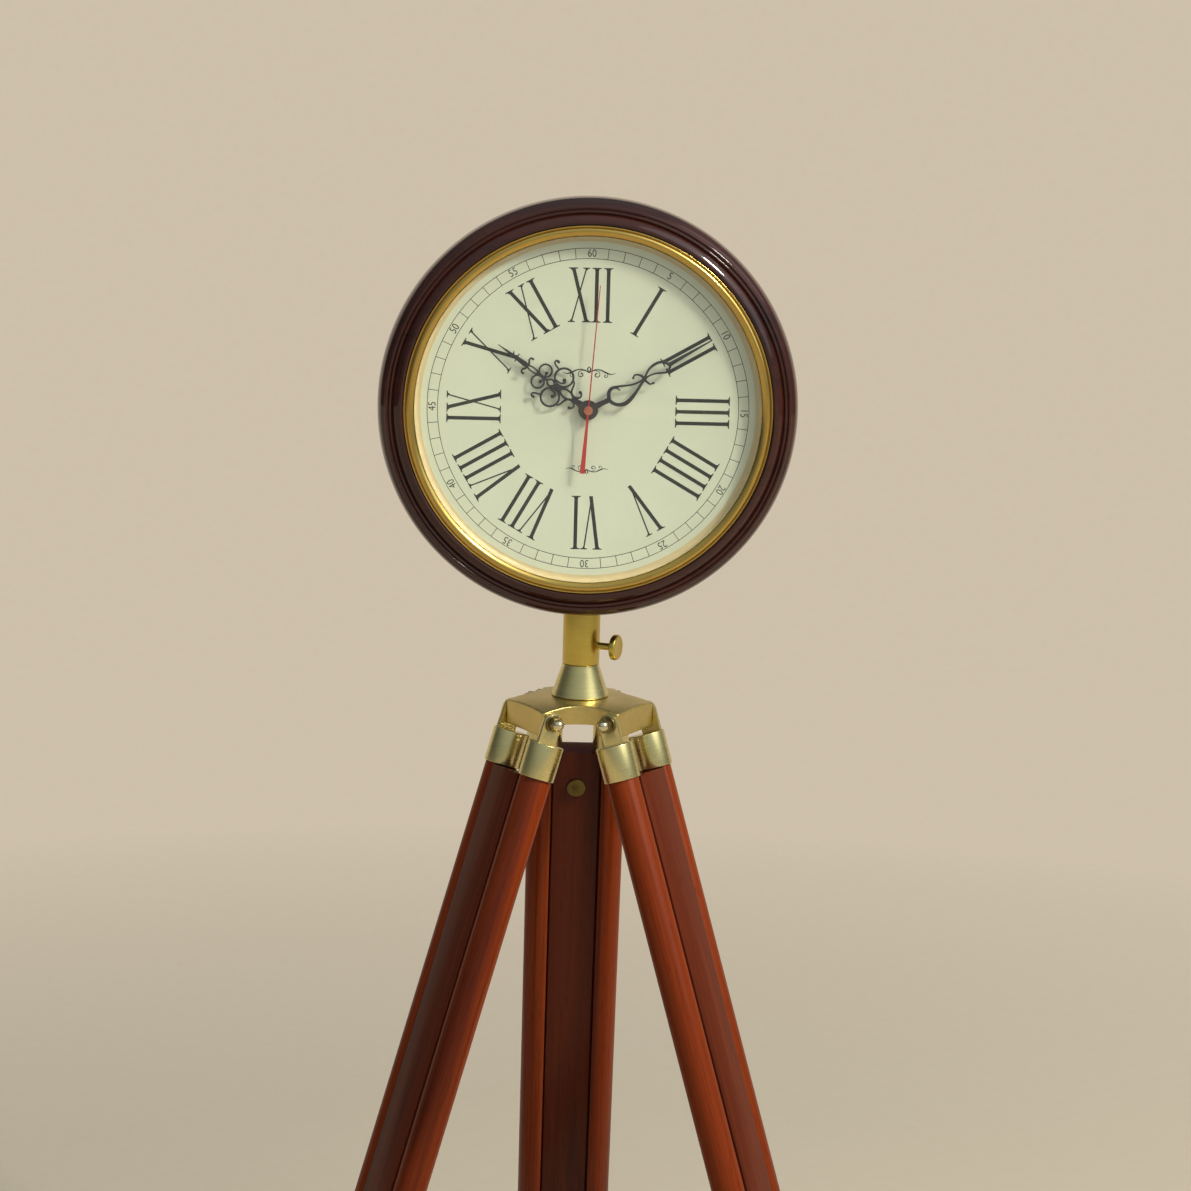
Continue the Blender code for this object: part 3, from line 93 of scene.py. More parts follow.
DOME_RADIUS = 5.0 * MM
FERRULE_WALL = 1.5 * MM
RAIL_FLAT = 6.9 * MM
TONGUE = 7.4 * MM
TONGUE_DEPTH = 4.5 * MM
SEAM_EASE = 0.7 * MM
SEAM_WIDTH = 1.1 * MM
SEAM_DEPTH = 5.0 * MM
CUP_WALL = 2.0 * MM
ACCESS_WIDTH = 90.0 * MM
ACCESS_HEIGHT = 110.0 * MM

# Camera, fitted to the photo: metres from the pole's axis at the height of the leg hinges, and degrees
CAMERA_ACROSS = -0.0533
CAMERA_AHEAD = 2.710
CAMERA_UP = 0.5778
CAMERA_YAW = 1.36
CAMERA_PITCH = -10.0
CAMERA_ROLL = 1.5
CAMERA_FOCAL_PIXELS = 3250.0
IMAGE_PIXELS = 1191.0
SENSOR_WIDTH = 36.0

# Lights: a small warm key and a wide cool window, both from the upper right, and a soft sky
LIGHT_TARGET_DROP = 0.15
LIGHTS = (
    # name, direction from the clock, distance, size, power, colour
    ("key", (0.62, -0.40, 0.67), 3.6, 0.5, 102.0, (1.0, 0.92, 0.79)),
    ("window", (0.66, -0.42, 0.62), 4.2, 4.4, 46.0, (0.88, 0.94, 1.0)),
)
SKY_DIRECTION = Vector((0.25, -0.50, 0.83)).normalized()
SKY_LEVELS = (0.10, 0.64)
SKY_COLOUR = (0.85, 0.95, 1.0, 1.0)

# Stage: its ends, height and half width, its bend, and where its paper fades to plain colour
STAGE_FRONT = -9.0
STAGE_BACK = 4.6
STAGE_BEND = 1.4
STAGE_TOP = 3.2
STAGE_HALF = 8.0
STAGE_STEPS = 16
FADE = (0.9, 2.2)


# Places read from the frame


def shift(x=0.0, y=0.0, z=0.0):
    return Matrix.Translation((x, y, z))


def turn(degrees, axis="Z"):
    return Matrix.Rotation(math.radians(degrees), 4, axis)


def columns(x, y, z, origin):
    """A frame from its three axes and its origin."""
    return shift(*origin) @ Matrix((x, y, z)).transposed().to_4x4()


def joint(name):
    """A joint's place, if it has one, and the direction of its axis."""
    found = next(j for j in frame["joints"] if j["name"] == name)
    return Vector(found.get("pos_m", (0, 0, 0))), Vector(found["axis"]).normalized()


def leg_frame(name):
    hinge, axis = joint(f"leg_{name}_spread")
    slide = joint(f"leg_{name}_extend")[1]
    return columns(axis.cross(slide), -axis, -slide, hinge)


def screw_frame(name):
    """A frame at a screw's joint, its Z along the joint's axis."""
    place, axis = joint(f"{name}_turn")
    side = Vector((0, 0, 1)) if abs(axis.z) < 0.9 else Vector((0, 1, 0))
    across = side.cross(axis).normalized()
    return columns(across, axis.cross(across), axis, place)


BEZEL_LOW, BEZEL_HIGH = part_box("bezel")
DIAL_HUB = (BEZEL_LOW + BEZEL_HIGH) / 2
DIAL_HUB.y = BEZEL_LOW.y
DIAL_FRAME = shift(*DIAL_HUB) @ turn(90, "X")
POLE = joint("clock_swivel")[0]
HINGE_Z = joint("leg_rear_spread")[0].z
HEAD_FRAME = shift(POLE.x, POLE.y, HINGE_Z)
LEG_FRAMES = {name: leg_frame(name) for name in LEGS}
BODY_OF = {node: body for body, nodes in frame["record"]["behaviour"]["bodies"].items() for node in nodes}


def span(values):
    return min(values), max(values)


class Part:
    """A CAD node measured in a frame, which is also the frame of the pieces that dress it."""

    def __init__(self, node, place):
        inverse = place.inverted()
        self.node, self.place = node, place
        self.points = [inverse @ v.co for v in frame["nodes"][node].data.vertices]
        ends = [span([p[i] for p in self.points]) for i in range(3)]
        self.low, self.high = (Vector(corner) for corner in zip(*ends))
        self.middle = (self.low + self.high) / 2
        self.half = (self.high - self.low) / 2
        self.radius = max(self.high.x, -self.low.x)
        self.height = self.high.z - self.low.z
        self.turned = (self.low.z, self.high.z, self.radius)

    def foot_radius(self):
        return max(math.hypot(p.x, p.y) for p in self.points if p.z < self.low.z + MM)

    def shoulder(self, slack=MM):
        """The height at which the widest part begins."""
        return min(p.z for p in self.points if math.hypot(p.x, p.y) > self.radius - slack)

    def dress(self, name, mesh, material, place=None):
        """The visible piece that stands for this node."""
        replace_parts(self.add(name, mesh, material, place), self.node)

    def add(self, name, mesh, material, place=None):
        """A visible piece on this node's body."""
        mesh.name = name
        mesh.materials.clear()
        mesh.materials.append(material)
        piece = linked(name, mesh)
        piece.matrix_world = self.place if place is None else place
        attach(piece, BODY_OF[self.node])
        return piece


def linked(name, data):
    """A new object in the scene."""
    item = bpy.data.objects.new(name, data)
    bpy.context.scene.collection.objects.link(item)
    return item


# Materials


def screen(red, green, blue):
    """The linear colour of an 8-bit screen colour."""
    return (*[((c / 255 + 0.055) / 1.055) ** 2.4 for c in (red, green, blue)], 1.0)


class Maker:
    """Adds and links the nodes of one material or world."""

    def __init__(self, owner):
        owner.use_nodes = True
        self.owner = owner
        self.tree = owner.node_tree
        self.surface = self.tree.get_output_node("ALL").inputs["Surface"]
        self.shader = self.surface.links[0].from_node

    def put(self, socket, value):
        if isinstance(value, bpy.types.NodeSocket):
            self.tree.links.new(value, socket)
        else:
            socket.default_value = value

    def add(self, kind, *values, settings=None, **inputs):
        """A new node whose first inputs are given in their order, and others by name."""
        node = self.tree.nodes.new("ShaderNode" + kind)
        for key, value in (settings or {}).items():
            setattr(node, key, value)
        for socket, value in zip(node.inputs, values):
            self.put(socket, value)
        self.set(node, **inputs)
        return node

    def set(self, node=None, **inputs):
        """Sets or links inputs by name, on the shader where no node is given."""
        for key, value in inputs.items():
            self.put((node or self.shader).inputs[key.replace("_", " ")], value)

    def math(self, operation, first, second):
        return self.add("Math", first, second, settings={"operation": operation}).outputs[0]

    def noise(self, scale, detail=4.0, roughness=0.5, distortion=0.0, per_piece=True):
        """Noise with a scale for each axis of the piece, and a seed of its own for each piece."""
        scale = (scale, scale, scale) if isinstance(scale, float) else scale
        where = self.add("TexCoord").outputs["Object"]
        spread = self.add("Mapping", Vector=where, Scale=scale).outputs["Vector"]
        seed = self.math("MULTIPLY", self.add("ObjectInfo").outputs["Random"], 40.0) if per_piece else 0.0
        shape = {"Scale": 1.0, "Detail": detail, "Roughness": roughness, "Distortion": distortion}
        settings = {"noise_dimensions": "4D"}
        return self.add("TexNoise", settings=settings, Vector=spread, W=seed, **shape).outputs["Fac"]

    def ramp(self, factor, stops):
        """A colour ramp: stops are a place from 0 to 1 and a colour."""
        node = self.add("ValToRGB", factor)
        elements = node.color_ramp.elements
        while len(elements) < len(stops):
            elements.new(0.5)
        for element, (place, colour) in zip(elements, stops):
            element.position = place
            element.color = colour
        return node.outputs["Color"]

    def mixed(self, factor, first, second, blend="MIX"):
        node = self.add("Mix", factor, settings={"data_type": "RGBA", "blend_type": blend})
        self.put(node.inputs[6], first)
        self.put(node.inputs[7], second)
        return node.outputs[2]

    def tinted(self, colour, factor, *stops, amount=1.0):
        """The colour, made darker or lighter by greys that follow a factor."""
        greys = self.ramp(factor, [(place, (level, level, level, 1.0)) for place, level in stops])
        return self.mixed(amount, colour, greys, "MULTIPLY")

    def span(self, factor, low, high):
        """A value that runs from low to high as the factor runs from 0 to 1."""
        return self.add("MapRange", factor, To_Min=low, To_Max=high).outputs["Result"]

    def bump(self, height, strength, distance):
        node = self.add("Bump", Height=height, Strength=strength, Distance=distance)
        self.set(Normal=node.outputs["Normal"])

    def blend(self, factor, other):
        """Shows the shader where the factor is 0, and the other where it is 1."""
        both = self.add("MixShader", factor, self.shader.outputs[0], other.outputs[0])
        self.put(self.surface, both.outputs[0])


def material(name, slot=None):
    """A maker for a new material. Its slot is not used."""
    return Maker(bpy.data.materials.new(name))


def wood(name, slot, base, dark, light, grain, rough, coat, coat_rough, gloss=0.05):
    """Varnished wood: wide soft streaks, fine fibres and short dark pores along the grain's axis."""

    def stretched(across, along):
        return tuple(along if axis == grain else across for axis in range(3))

    make = material(name, slot)
    streaks = make.noise(stretched(30.0, 1.6), detail=5.0, roughness=0.55, distortion=0.6)
    fibres = make.noise(stretched(420.0, 5.0), detail=3.0, roughness=0.6)
    pores = make.noise(stretched(900.0, 60.0), detail=1.0)
    base, dark, light = screen(*base), screen(*dark), screen(*light)
    colour = make.ramp(streaks, [(0.30, dark), (0.47, base), (0.58, base), (0.76, light)])
    colour = make.tinted(colour, fibres, (0.28, 0.72), (0.52, 1.0), (0.75, 1.12))
    colour = make.tinted(colour, pores, (0.30, 0.62), (0.40, 1.0), amount=0.7)
    make.set(Base_Color=colour, Roughness=make.span(fibres, rough * 0.8, rough * 1.2))
    make.set(Coat_Weight=coat, Coat_Roughness=coat_rough, Specular_IOR_Level=gloss)
    make.bump(fibres, 0.12, 0.0002)
    return make.owner


def brass(name, bright, dull, low, high, lines=(50.0, 50.0, 1600.0), tarnish=0.55):
    """Satin brass: fine brushed lines, soft patches of duller metal, and small scratches."""
    make = material(name, "brass")
    brushed = make.noise(lines, detail=2.0)
    patches = make.noise(45.0, detail=5.0, roughness=0.6)
    marks = make.noise((700.0, 90.0, 260.0), detail=2.0)
    colour = make.mixed(make.span(patches, 0.0, tarnish), screen(*bright), screen(*dull))
    colour = make.tinted(colour, brushed, (0.35, 0.95), (0.65, 1.03))
    rough = make.math("ADD", make.span(brushed, low, high), make.span(patches, -0.05, 0.08))
    make.set(Base_Color=colour, Metallic=1.0, Roughness=rough)
    make.bump(make.mixed(0.35, brushed, marks), 0.05, 0.0001)
    return make.owner


def enamel(name, base, stain):
    """The dial's cream paint: faint cloudy stains and a slightly uneven gloss."""
    make = material(name, "cream_enamel")
    clouds = make.noise(9.0)
    colour = make.mixed(make.span(clouds, 0.0, 0.8), screen(*base), screen(*stain))
    make.set(Base_Color=colour, Roughness=make.span(clouds, 0.34, 0.46))
    make.bump(make.noise(900.0, detail=1.0), 0.05, 0.00005)
    return make.owner


def ink(name, base, worn):
    """Printed ink, a little thin in places."""
    make = material(name, "black_metal")
    wear = make.noise(500.0, detail=3.0)
    make.set(Base_Color=make.mixed(make.span(wear, 0.0, 0.9), screen(*base), screen(*worn)))
    make.set(Roughness=make.span(wear, 0.38, 0.55), Specular_IOR_Level=0.2)
    return make.owner


def coated(name, slot, base, edge, low, high, texture=700.0, metallic=0.0, depth=0.00008):
    """Moulded or painted surfaces: fine texture and slight variation of colour and gloss."""
    make = material(name, slot)
    fine = make.noise(texture, detail=2.0)
    colour = make.mixed(make.span(make.noise(40.0), 0.0, 1.0), screen(*base), screen(*edge))
    make.set(Base_Color=colour, Metallic=metallic, Roughness=make.span(fine, low, high))
    make.bump(fine, 0.15, depth)
    return make.owner


def pane(name):
    """Clear glass that lets the lamps' light through."""
    make = material(name, "clear_glass")
    make.set(Base_Color=(1.0, 1.0, 1.0, 1.0), Transmission_Weight=1.0, IOR=1.45)
    make.set(Roughness=make.span(make.noise(14.0), 0.0, 0.012))
    clear = make.add("BsdfTransparent", Color=(0.97, 0.98, 0.97, 1.0))
    make.blend(make.add("LightPath").outputs["Is Shadow Ray"], clear)
    return make.owner


X, Y, Z = range(3)
CASE_WOOD = wood(
    "case_wood_varnished", "case_wood", (58, 25, 17), (34, 14, 11), (80, 36, 23), X, 0.3, 0.8, 0.05
)
LEG_WOOD = wood(
    "leg_wood_varnished", "leg_wood", (128, 49, 13), (76, 27, 10), (148, 64, 20), Z, 0.42, 0.2, 0.14
)
# Painted shade: the boards get the rails' wood made darker, standing in for the shade the boards lie in.
BOARD_WOOD_PAINTED_SHADE = wood(
    "board_wood_painted_shade", "leg_wood", (96, 37, 14), (58, 23, 10), (118, 50, 20), Z, 0.42, 0.24, 0.14
)
BACK_WOOD = wood(
    "back_board_ply", "back_wood", (176, 140, 98), (142, 106, 70), (196, 164, 120), Y, 0.6, 0.0, 0.3, 0.5
)
BEZEL_BRASS = brass("bezel_brass", (208, 176, 96), (178, 142, 64), 0.17, 0.26, (50.0, 50.0, 1400.0), 0.5)
TUBE_BRASS = brass("tube_brass", (214, 190, 96), (180, 154, 72), 0.24, 0.34)
CAST_BRASS = brass("cast_brass", (218, 196, 124), (188, 164, 98), 0.28, 0.40, 240.0, 0.7)
FERRULE_BRASS = brass("ferrule_brass", (228, 214, 152), (196, 180, 118), 0.22, 0.32)
OLD_BRASS = brass("disc_brass", (128, 110, 62), (92, 78, 44), 0.34, 0.48, 300.0, 0.8)
# Darker brass for the acorn nuts' hex and flange: painted shade on the sides of the nut that stand out.
HEX_BRASS_PAINTED_SHADE = brass("hex_brass_painted_shade", (150, 134, 88), (112, 98, 62), 0.24, 0.34, 400.0, 0.6)
CAP_BRASS = brass("cap_brass", (226, 214, 176), (204, 188, 140), 0.12, 0.20, 400.0, 0.3)
CREAM = enamel("dial_enamel", (200, 208, 186), (193, 201, 177))
WARM_CREAM = enamel("surround_enamel", (198, 184, 140), (188, 172, 126))
DIAL_INK = ink("dial_ink", (26, 32, 28), (48, 54, 48))
HAND_BLACK = coated("hand_black", "black_metal", (26, 28, 32), (34, 36, 40), 0.30, 0.42)
HAND_RED = coated("hand_red", "red_metal", (176, 40, 30), (150, 30, 24), 0.32, 0.44)
COPPER = coated("cap_copper", "red_metal", (214, 138, 110), (190, 116, 90), 0.24, 0.34, metallic=1.0)
GLASS = pane("pane_glass")
STEEL = coated("plain_steel", "steel", (190, 190, 184), (168, 168, 162), 0.26, 0.38, metallic=1.0)
MOULDED_BLACK = coated("moulded_black", "black_plastic", (30, 30, 32), (38, 38, 40), 0.45, 0.6, 500.0)
MOULDED_WHITE = coated("moulded_white", "white_plastic", (226, 222, 210), (214, 210, 198), 0.4, 0.5, 500.0)
CELL = coated("cell_sleeve", "battery_sleeve", (90, 96, 104), (70, 76, 84), 0.28, 0.36)
RUBBER = coated("foot_rubber", "black_rubber", (36, 35, 34), (46, 45, 43), 0.7, 0.85, 260.0, depth=0.0003)


# Shapes


def soft_shaded(mesh, angle=CREASE):
    mesh.shade_smooth()
    mesh.set_sharp_from_angle(angle=angle)
    return mesh


def to_mesh(form, angle=None):
    """The form as a mesh, with its faces turned outward where a crease angle is given."""
    if angle:
        bmesh.ops.recalc_face_normals(form, faces=form.faces)
    mesh = bpy.data.meshes.new("shape")
    form.to_mesh(mesh)
    form.free()
    return soft_shaded(mesh, angle or CREASE)


def baked(item, *helpers):
    """The mesh of an object after its modifiers. The object and its helpers go."""
    graph = bpy.context.evaluated_depsgraph_get()
    mesh = bpy.data.meshes.new_from_object(item.evaluated_get(graph))
    for thing in (item, *helpers):
        bpy.data.objects.remove(thing)
    return mesh


def lathe(outline, steps=ROUND_STEPS, angle=CREASE):
    """A mesh turned about Z. An outline that starts and ends on the axis is open, and any other closed."""
    form = bmesh.new()
    round_points = [(math.cos(t), math.sin(t)) for t in [2 * math.pi * i / steps for i in range(steps)]]
    rings = []
    for radius, height in outline:
        ring = round_points if radius > 1e-7 else [(0, 0)]
        rings.append([form.verts.new((radius * x, radius * y, height)) for x, y in ring])
    pairs = list(zip(rings, rings[1:]))
    if len(rings[0]) > 1:
        pairs.append((rings[-1], rings[0]))
    for upper, lower in pairs:
        for i in range(steps):
            j = (i + 1) % steps
            corners = [ring[k % len(ring)] for ring, k in ((upper, i), (upper, j), (lower, j), (lower, i))]
            unique = list(dict.fromkeys(corners))
            if len(unique) > 2:
                form.faces.new(unique)
    return to_mesh(form, angle)


def arc(centre, radius, start, end, steps=8):
    """Points round an arc between two angles in degrees, both ends included."""
    turns = [math.radians(start + (end - start) * i / steps) for i in range(steps + 1)]
    return [(centre[0] + radius * math.cos(t), centre[1] + radius * math.sin(t)) for t in turns]


def circle(radius, steps, x=0.0, y=0.0):
    return arc((x, y), radius, 0, 360, steps)[:-1]


def eased_side(radius, high, low, edge, steps=4):
    """The side of a turned piece from its top down, with both edges rounded."""
    top = arc((radius - edge, high - edge), edge, 90, 0, steps)
    return top + arc((radius - edge, low + edge), edge, 0, -90, steps)


def smooth_path(points, steps=6):
    """A Catmull-Rom curve through the points, as tuples of any length."""
    points = [Vector(p) for p in points]
    result = []
    for i, (b, c) in enumerate(zip(points, points[1:])):
        a = points[i - 1] if i else 2 * b - c
        d = points[i + 2] if i + 2 < len(points) else 2 * c - b
        for t in [k / steps for k in range(steps)]:
            square, cube = 2 * a - 5 * b + 4 * c - d, 3 * b - a - 3 * c + d
            result.append(0.5 * (2 * b + (c - a) * t + square * t**2 + cube * t**3))
    return [tuple(p) for p in [*result, points[-1]]]


def scaled(points):
    """Points in metres from millimetres."""
    return [tuple(value * MM for value in p) for p in points]


def plate(edge, thickness, low=0.0, *holes):
    """A flat plate from z = low up."""
    curve = bpy.data.curves.new("plate", "CURVE")
    curve.dimensions = "2D"
    curve.fill_mode = "BOTH"
    curve.extrude = thickness / 2
    for outline in (edge, *holes):
        spline = curve.splines.new("POLY")
        spline.points.add(len(outline) - 1)
        for point, (x, y) in zip(spline.points, outline):
            point.co = (x, y, 0, 1)
        spline.use_cyclic_u = True
    form = bmesh.new()
    form.from_mesh(baked(linked("plate", curve)))
    bmesh.ops.remove_doubles(form, verts=form.verts, dist=1e-7)
    bmesh.ops.translate(form, vec=(0, 0, low + thickness / 2), verts=form.verts)
    return to_mesh(form, CREASE)


def moved(mesh, matrix):
    mesh.transform(matrix)
    return mesh


def merged(meshes):
    """Several meshes as one, each still its own closed shell."""
    form = bmesh.new()
    for mesh in meshes:
        form.from_mesh(mesh)
    return to_mesh(form)


def worked(base, *steps, angle=CREASE):
    """A mesh after modifiers. Each step is a modifier type, its settings and, for a Boolean, a mesh."""
    item = linked("work", base)
    helpers = []
    for kind, settings, tool in steps:
        modifier = item.modifiers.new(kind.lower(), kind)
        for key, value in settings.items():
            setattr(modifier, key, value)
        if tool:
            helpers.append(linked("tool", tool))
            modifier.object = helpers[-1]
    return soft_shaded(baked(item, *helpers), angle)


def boolean(operation, tool):
    return ("BOOLEAN", {"operation": operation, "solver": "MANIFOLD"}, tool)


def joined(tool):
    return boolean("UNION", tool)


def removed(tool):
    return boolean("DIFFERENCE", tool)


def kept(tool):
    return boolean("INTERSECT", tool)


def softened(width, segments=2):
    """Rounds the edges that turn by more than 50 degrees."""
    limit = {"limit_method": "ANGLE", "angle_limit": math.radians(50)}
    return ("BEVEL", {"width": width, "segments": segments, **limit}, None)


def fused(meshes, *steps):
    """Overlapping closed meshes made one, and then any further steps."""
    first, *rest = meshes
    return worked(first, *map(joined, rest), *steps)


def ribbon(points, widths, steps=5):
    """The outline of a stroke along a smooth path. A width is given for each point, in the same unit."""
    path = smooth_path([(*p, w) for p, w in zip(points, widths)], steps)
    left, right = [], []
    for i, (x, y, w) in enumerate(path):
        before, after = path[max(i - 1, 0)], path[min(i + 1, len(path) - 1)]
        ahead = Vector((after[0] - before[0], after[1] - before[1])).normalized()
        side = Vector((-ahead.y, ahead.x)) * w / 2
        left.append((x + side.x, y + side.y))
        right.append((x - side.x, y - side.y))
    return left + right[::-1]


def spiral(centre, radius, start, turns, inner=0.2, points=14):
    """Points of a scroll that starts at this angle in degrees and winds in. Negative turns run clockwise."""
    result = []
    for share in [i / points for i in range(points + 1)]:
        reach = radius * (1 - (1 - inner) * share**0.9)
        t = math.radians(start) + 2 * math.pi * turns * share
        result.append((centre[0] + reach * math.cos(t), centre[1] + reach * math.sin(t)))
    return result


def flipped(points):
    return [(-x, y) for x, y in points]


def round_bar(radius, low, high, steps=SMALL_STEPS, edge=0.0, edge_steps=4):
    """A turned bar from low to high, with its edges rounded by this much."""
    side = eased_side(radius, high, low, edge, edge_steps) if edge else [(radius, high), (radius, low)]
    return lathe([(0, high), *side, (0, low)], steps)


def rounded_rectangle(half_x, half_y, corner, steps=6):
    points = []
    for sx, sy, start in ((1, 1, 0), (-1, 1, 90), (-1, -1, 180), (1, -1, 270)):
        points += arc((sx * (half_x - corner), sy * (half_y - corner)), corner, start, start + 90, steps)
    return points


# Case, bezel and glass: outlines as radius and height in millimetres

CASE_FACE = (
    (153.0, -5.2), (153.0, -1.9), (153.4, -1.25), (154.3, -1.0), (155.8, -1.4), (157.4, -2.3),
    (158.9, -3.5), (160.2, -4.9), (161.0, -6.3),
)
CASE_BEADS = (
    ((161.5, -6.6), (162.2, -5.7), (163.1, -5.3), (164.0, -5.6), (164.6, -6.5)),
    ((165.0, -6.7), (165.7, -5.9), (166.6, -5.7), (167.6, -6.1), (168.2, -7.0)),
)
CASE_SIDE = (
    (168.7, -7.4), (171.2, -10.2), (173.2, -15.6), (174.3, -22.5), (174.65, -32.0), (174.3, -43.0),
    (173.2, -53.0), (171.0, -62.5), (167.8, -70.5), (164.0, -76.4), (160.0, -80.2), (157.5, -81.6),
)
BEZEL_TOP = (
    (152.35, -4.9), (152.4, -2.9), (152.2, -2.0), (151.7, -1.6), (151.1, -1.8), (150.8, -2.4),
    (150.5, -2.3), (150.0, -1.5), (149.0, -0.6), (147.6, -0.15), (146.0, -0.45), (144.5, -1.3),
    (143.4, -2.4), (143.05, -3.3),
)
CASE_BORES = (150.0, 138.6, 144.6, 146.5)
CASE_LIP = 6.0 * MM
CASE_FRONT = -5.3 * MM
BEZEL_FOOT = ((143.05, -3.4), (146.5, -3.4), (146.5, -4.95))
SURROUND_COVE = ((137.6, 0.15), (139.6, 0.4), (141.2, 1.25), (142.4, 2.95), (143.0, 5.15))


def head(node):
    return Part(node, DIAL_FRAME)


def staircase(radii, heights):
    """A stepped bore: each radius runs between two neighbouring heights."""
    return [(radius, z) for radius, ends in zip(radii, zip(heights, heights[1:])) for z in ends]


def make_case():
    outside = smooth_path(CASE_FACE, 4)
    for bead in CASE_BEADS:
        outside += smooth_path(bead, 4)
    outside += smooth_path(CASE_SIDE, 5)
    case, back = head("case_ring"), head("back_board")
    ledge, seat = head("dial").low.z - PLAY, head("glass").low.z - PLAY
    radii = (back.high.x + PLAY, *[radius * MM for radius in CASE_BORES])
    heights = (case.low.z, back.high.z + PLAY, ledge - CASE_LIP, ledge, seat, CASE_FRONT)
    case.dress("case", lathe(scaled(outside) + staircase(radii, heights), FINE_STEPS), CASE_WOOD)


def make_bezel():
    outline = scaled([*smooth_path(BEZEL_TOP, 5), *BEZEL_FOOT])
    head("bezel").dress("bezel_ring", lathe(outline, FINE_STEPS), BEZEL_BRASS)


def make_surround():
    """The cream ring that hides the case's bore between the dial and the glass: a cove, then a wall."""
    dial = head("dial")
    face, top = dial.high.z + 0.1 * MM, head("glass").low.z - 0.2 * MM
    cove = [(x, face + z) for x, z in scaled(smooth_path(SURROUND_COVE, 4))]
    outline = [(cove[0][0], face), *cove, (143.2 * MM, top), (dial.high.x, top), (dial.high.x, face)]
    dial.add("dial_surround", lathe(outline, FINE_STEPS), WARM_CREAM)


def make_glass():
    glass = head("glass")
    mesh = round_bar(glass.high.x, glass.low.z, glass.high.z, FINE_STEPS, 0.4 * MM, 3)
    glass.dress("glass_pane", mesh, GLASS)


# Dial: sizes of the print in millimetres

PRINT_THICKNESS = 0.06 * MM
DIAL_HOLE = 3.0 * MM
TRACK_INNER = 123.4
TRACK_OUTER = 131.9
TRACK_LINE = 0.52
NUMERAL_INNER = 71.5
NUMERAL_OUTER = 116.0
STEM = 3.0
HAIR = 1.15
SERIF_REACH = 2.3
SERIF_THICKNESS = 0.75
ADVANCE = {"I": 9.45, "V": 16.0, "X": 18.4}
NUMERALS = ("XII", "I", "II", "III", "IIII", "V", "VI", "VII", "VIII", "IX", "X", "XI")
NUMBER_HEIGHT = 6.5
NUMBER_RADIUS = 127.6
NUMBER_SQUEEZE = 0.86
FONT_SCALE = 1.36


def flat(edge, thickness, *holes):
    """A flat plate whose outlines are in millimetres."""
    return plate(scaled(edge), thickness, 0.0, *map(scaled, holes))


def bar(start, end, width):
    """A straight stroke whose ends are level, as a printed numeral's are."""
    (x, y), (u, v), half = start, end, width / 2
    return [(x - half, y), (x + half, y), (u + half, v), (u - half, v)]


def serif(x, y, width, inward):
    """A thin level serif that curves into the stroke above or below it."""
    half, level = width / 2, SERIF_THICKNESS
    reach = half + SERIF_REACH
    right = [(reach, 0.0), (reach, level), (half + 0.5, level + 0.35), (half, level + 1.6)]
    return [(x + u, y + inward * v) for u, v in right + flipped(right)[::-1]]


def numeral_strokes(letter, x):
    """Strokes of one Roman letter about x, from the inner radius to the outer one."""
    foot, top = NUMERAL_INNER, NUMERAL_OUTER
    if letter == "I":
        strokes = [(0.0, 0.0, STEM)]
    elif letter == "V":
        strokes = [(0.6, -5.6, STEM), (-0.2, 5.6, HAIR)]
    else:
        strokes = [(6.2, -5.4, STEM), (-6.2, 5.4, HAIR)]
    outlines = []
    for low, high, width in strokes:
        outlines += [bar((x + low, foot), (x + high, top), width), serif(x + high, top, width, -1)]
        if letter != "V":
            outlines.append(serif(x + low, foot, width, 1))
    return outlines


def numeral(word, hour):
    """All the strokes of one numeral, fused and turned to its hour."""
    x = -sum(ADVANCE[letter] for letter in word) / 2
    plates = []
    for letter in word:
        middle = x + ADVANCE[letter] / 2
        plates += [flat(stroke, PRINT_THICKNESS) for stroke in numeral_strokes(letter, middle)]
        x += ADVANCE[letter]
    return moved(fused(plates), turn(-30.0 * hour))


def minute_number(value):
    """A small plain number in its place in the minute track, its head outward."""
    text = bpy.data.curves.new("number", "FONT")
    text.body = str(value)
    text.align_x = text.align_y = "CENTER"
    text.size = NUMBER_HEIGHT * FONT_SCALE * MM
    text.extrude = PRINT_THICKNESS / 2
    place = shift(0, NUMBER_RADIUS * MM, PRINT_THICKNESS / 2) @ Matrix.Diagonal((NUMBER_SQUEEZE, 1, 1, 1))
    return moved(baked(linked("number", text)), turn(-6.0 * value) @ place)


def track_meshes():
    half = TRACK_LINE / 2
    meshes = []
    for radius in (TRACK_INNER, TRACK_OUTER):
        inner, outer = (radius - half) * MM, (radius + half) * MM
        outline = [(inner, PRINT_THICKNESS), (outer, PRINT_THICKNESS), (outer, 0), (inner, 0)]
        meshes.append(lathe(outline, FINE_STEPS))
    for minute in range(60):
        if minute % 5:
            tick = flat(bar((0, TRACK_INNER), (0, TRACK_OUTER), TRACK_LINE), PRINT_THICKNESS)
            meshes.append(moved(tick, turn(-6.0 * minute)))
    return meshes


# A plain scroll ornament on the dial, right half: path points and widths
FLOURISH = (
    (((-0.3, 0.2), (4.0, 2.4), (9.0, 2.8), (14.0, 0.6), (18.0, -0.6), (22.0, 0.4)),
     (0.6, 1.1, 0.9, 1.3, 0.8, 0.3)),
    (spiral((6.4, -1.2), 3.2, 110, -1.15), [0.4 + 0.05 * i for i in range(15)]),
    (spiral((13.6, -2.0), 2.2, 80, -1.0), [0.4 + 0.03 * i for i in range(15)]),
    (((-0.2, 5.4), (1.3, 3.2), (-0.2, 0.4)), (0.3, 1.2, 0.4)),
)
# The height, size and turn of each
ORNAMENTS = ((30.0, 1.0, 0.0), (-49.0, 0.8, 180.0))


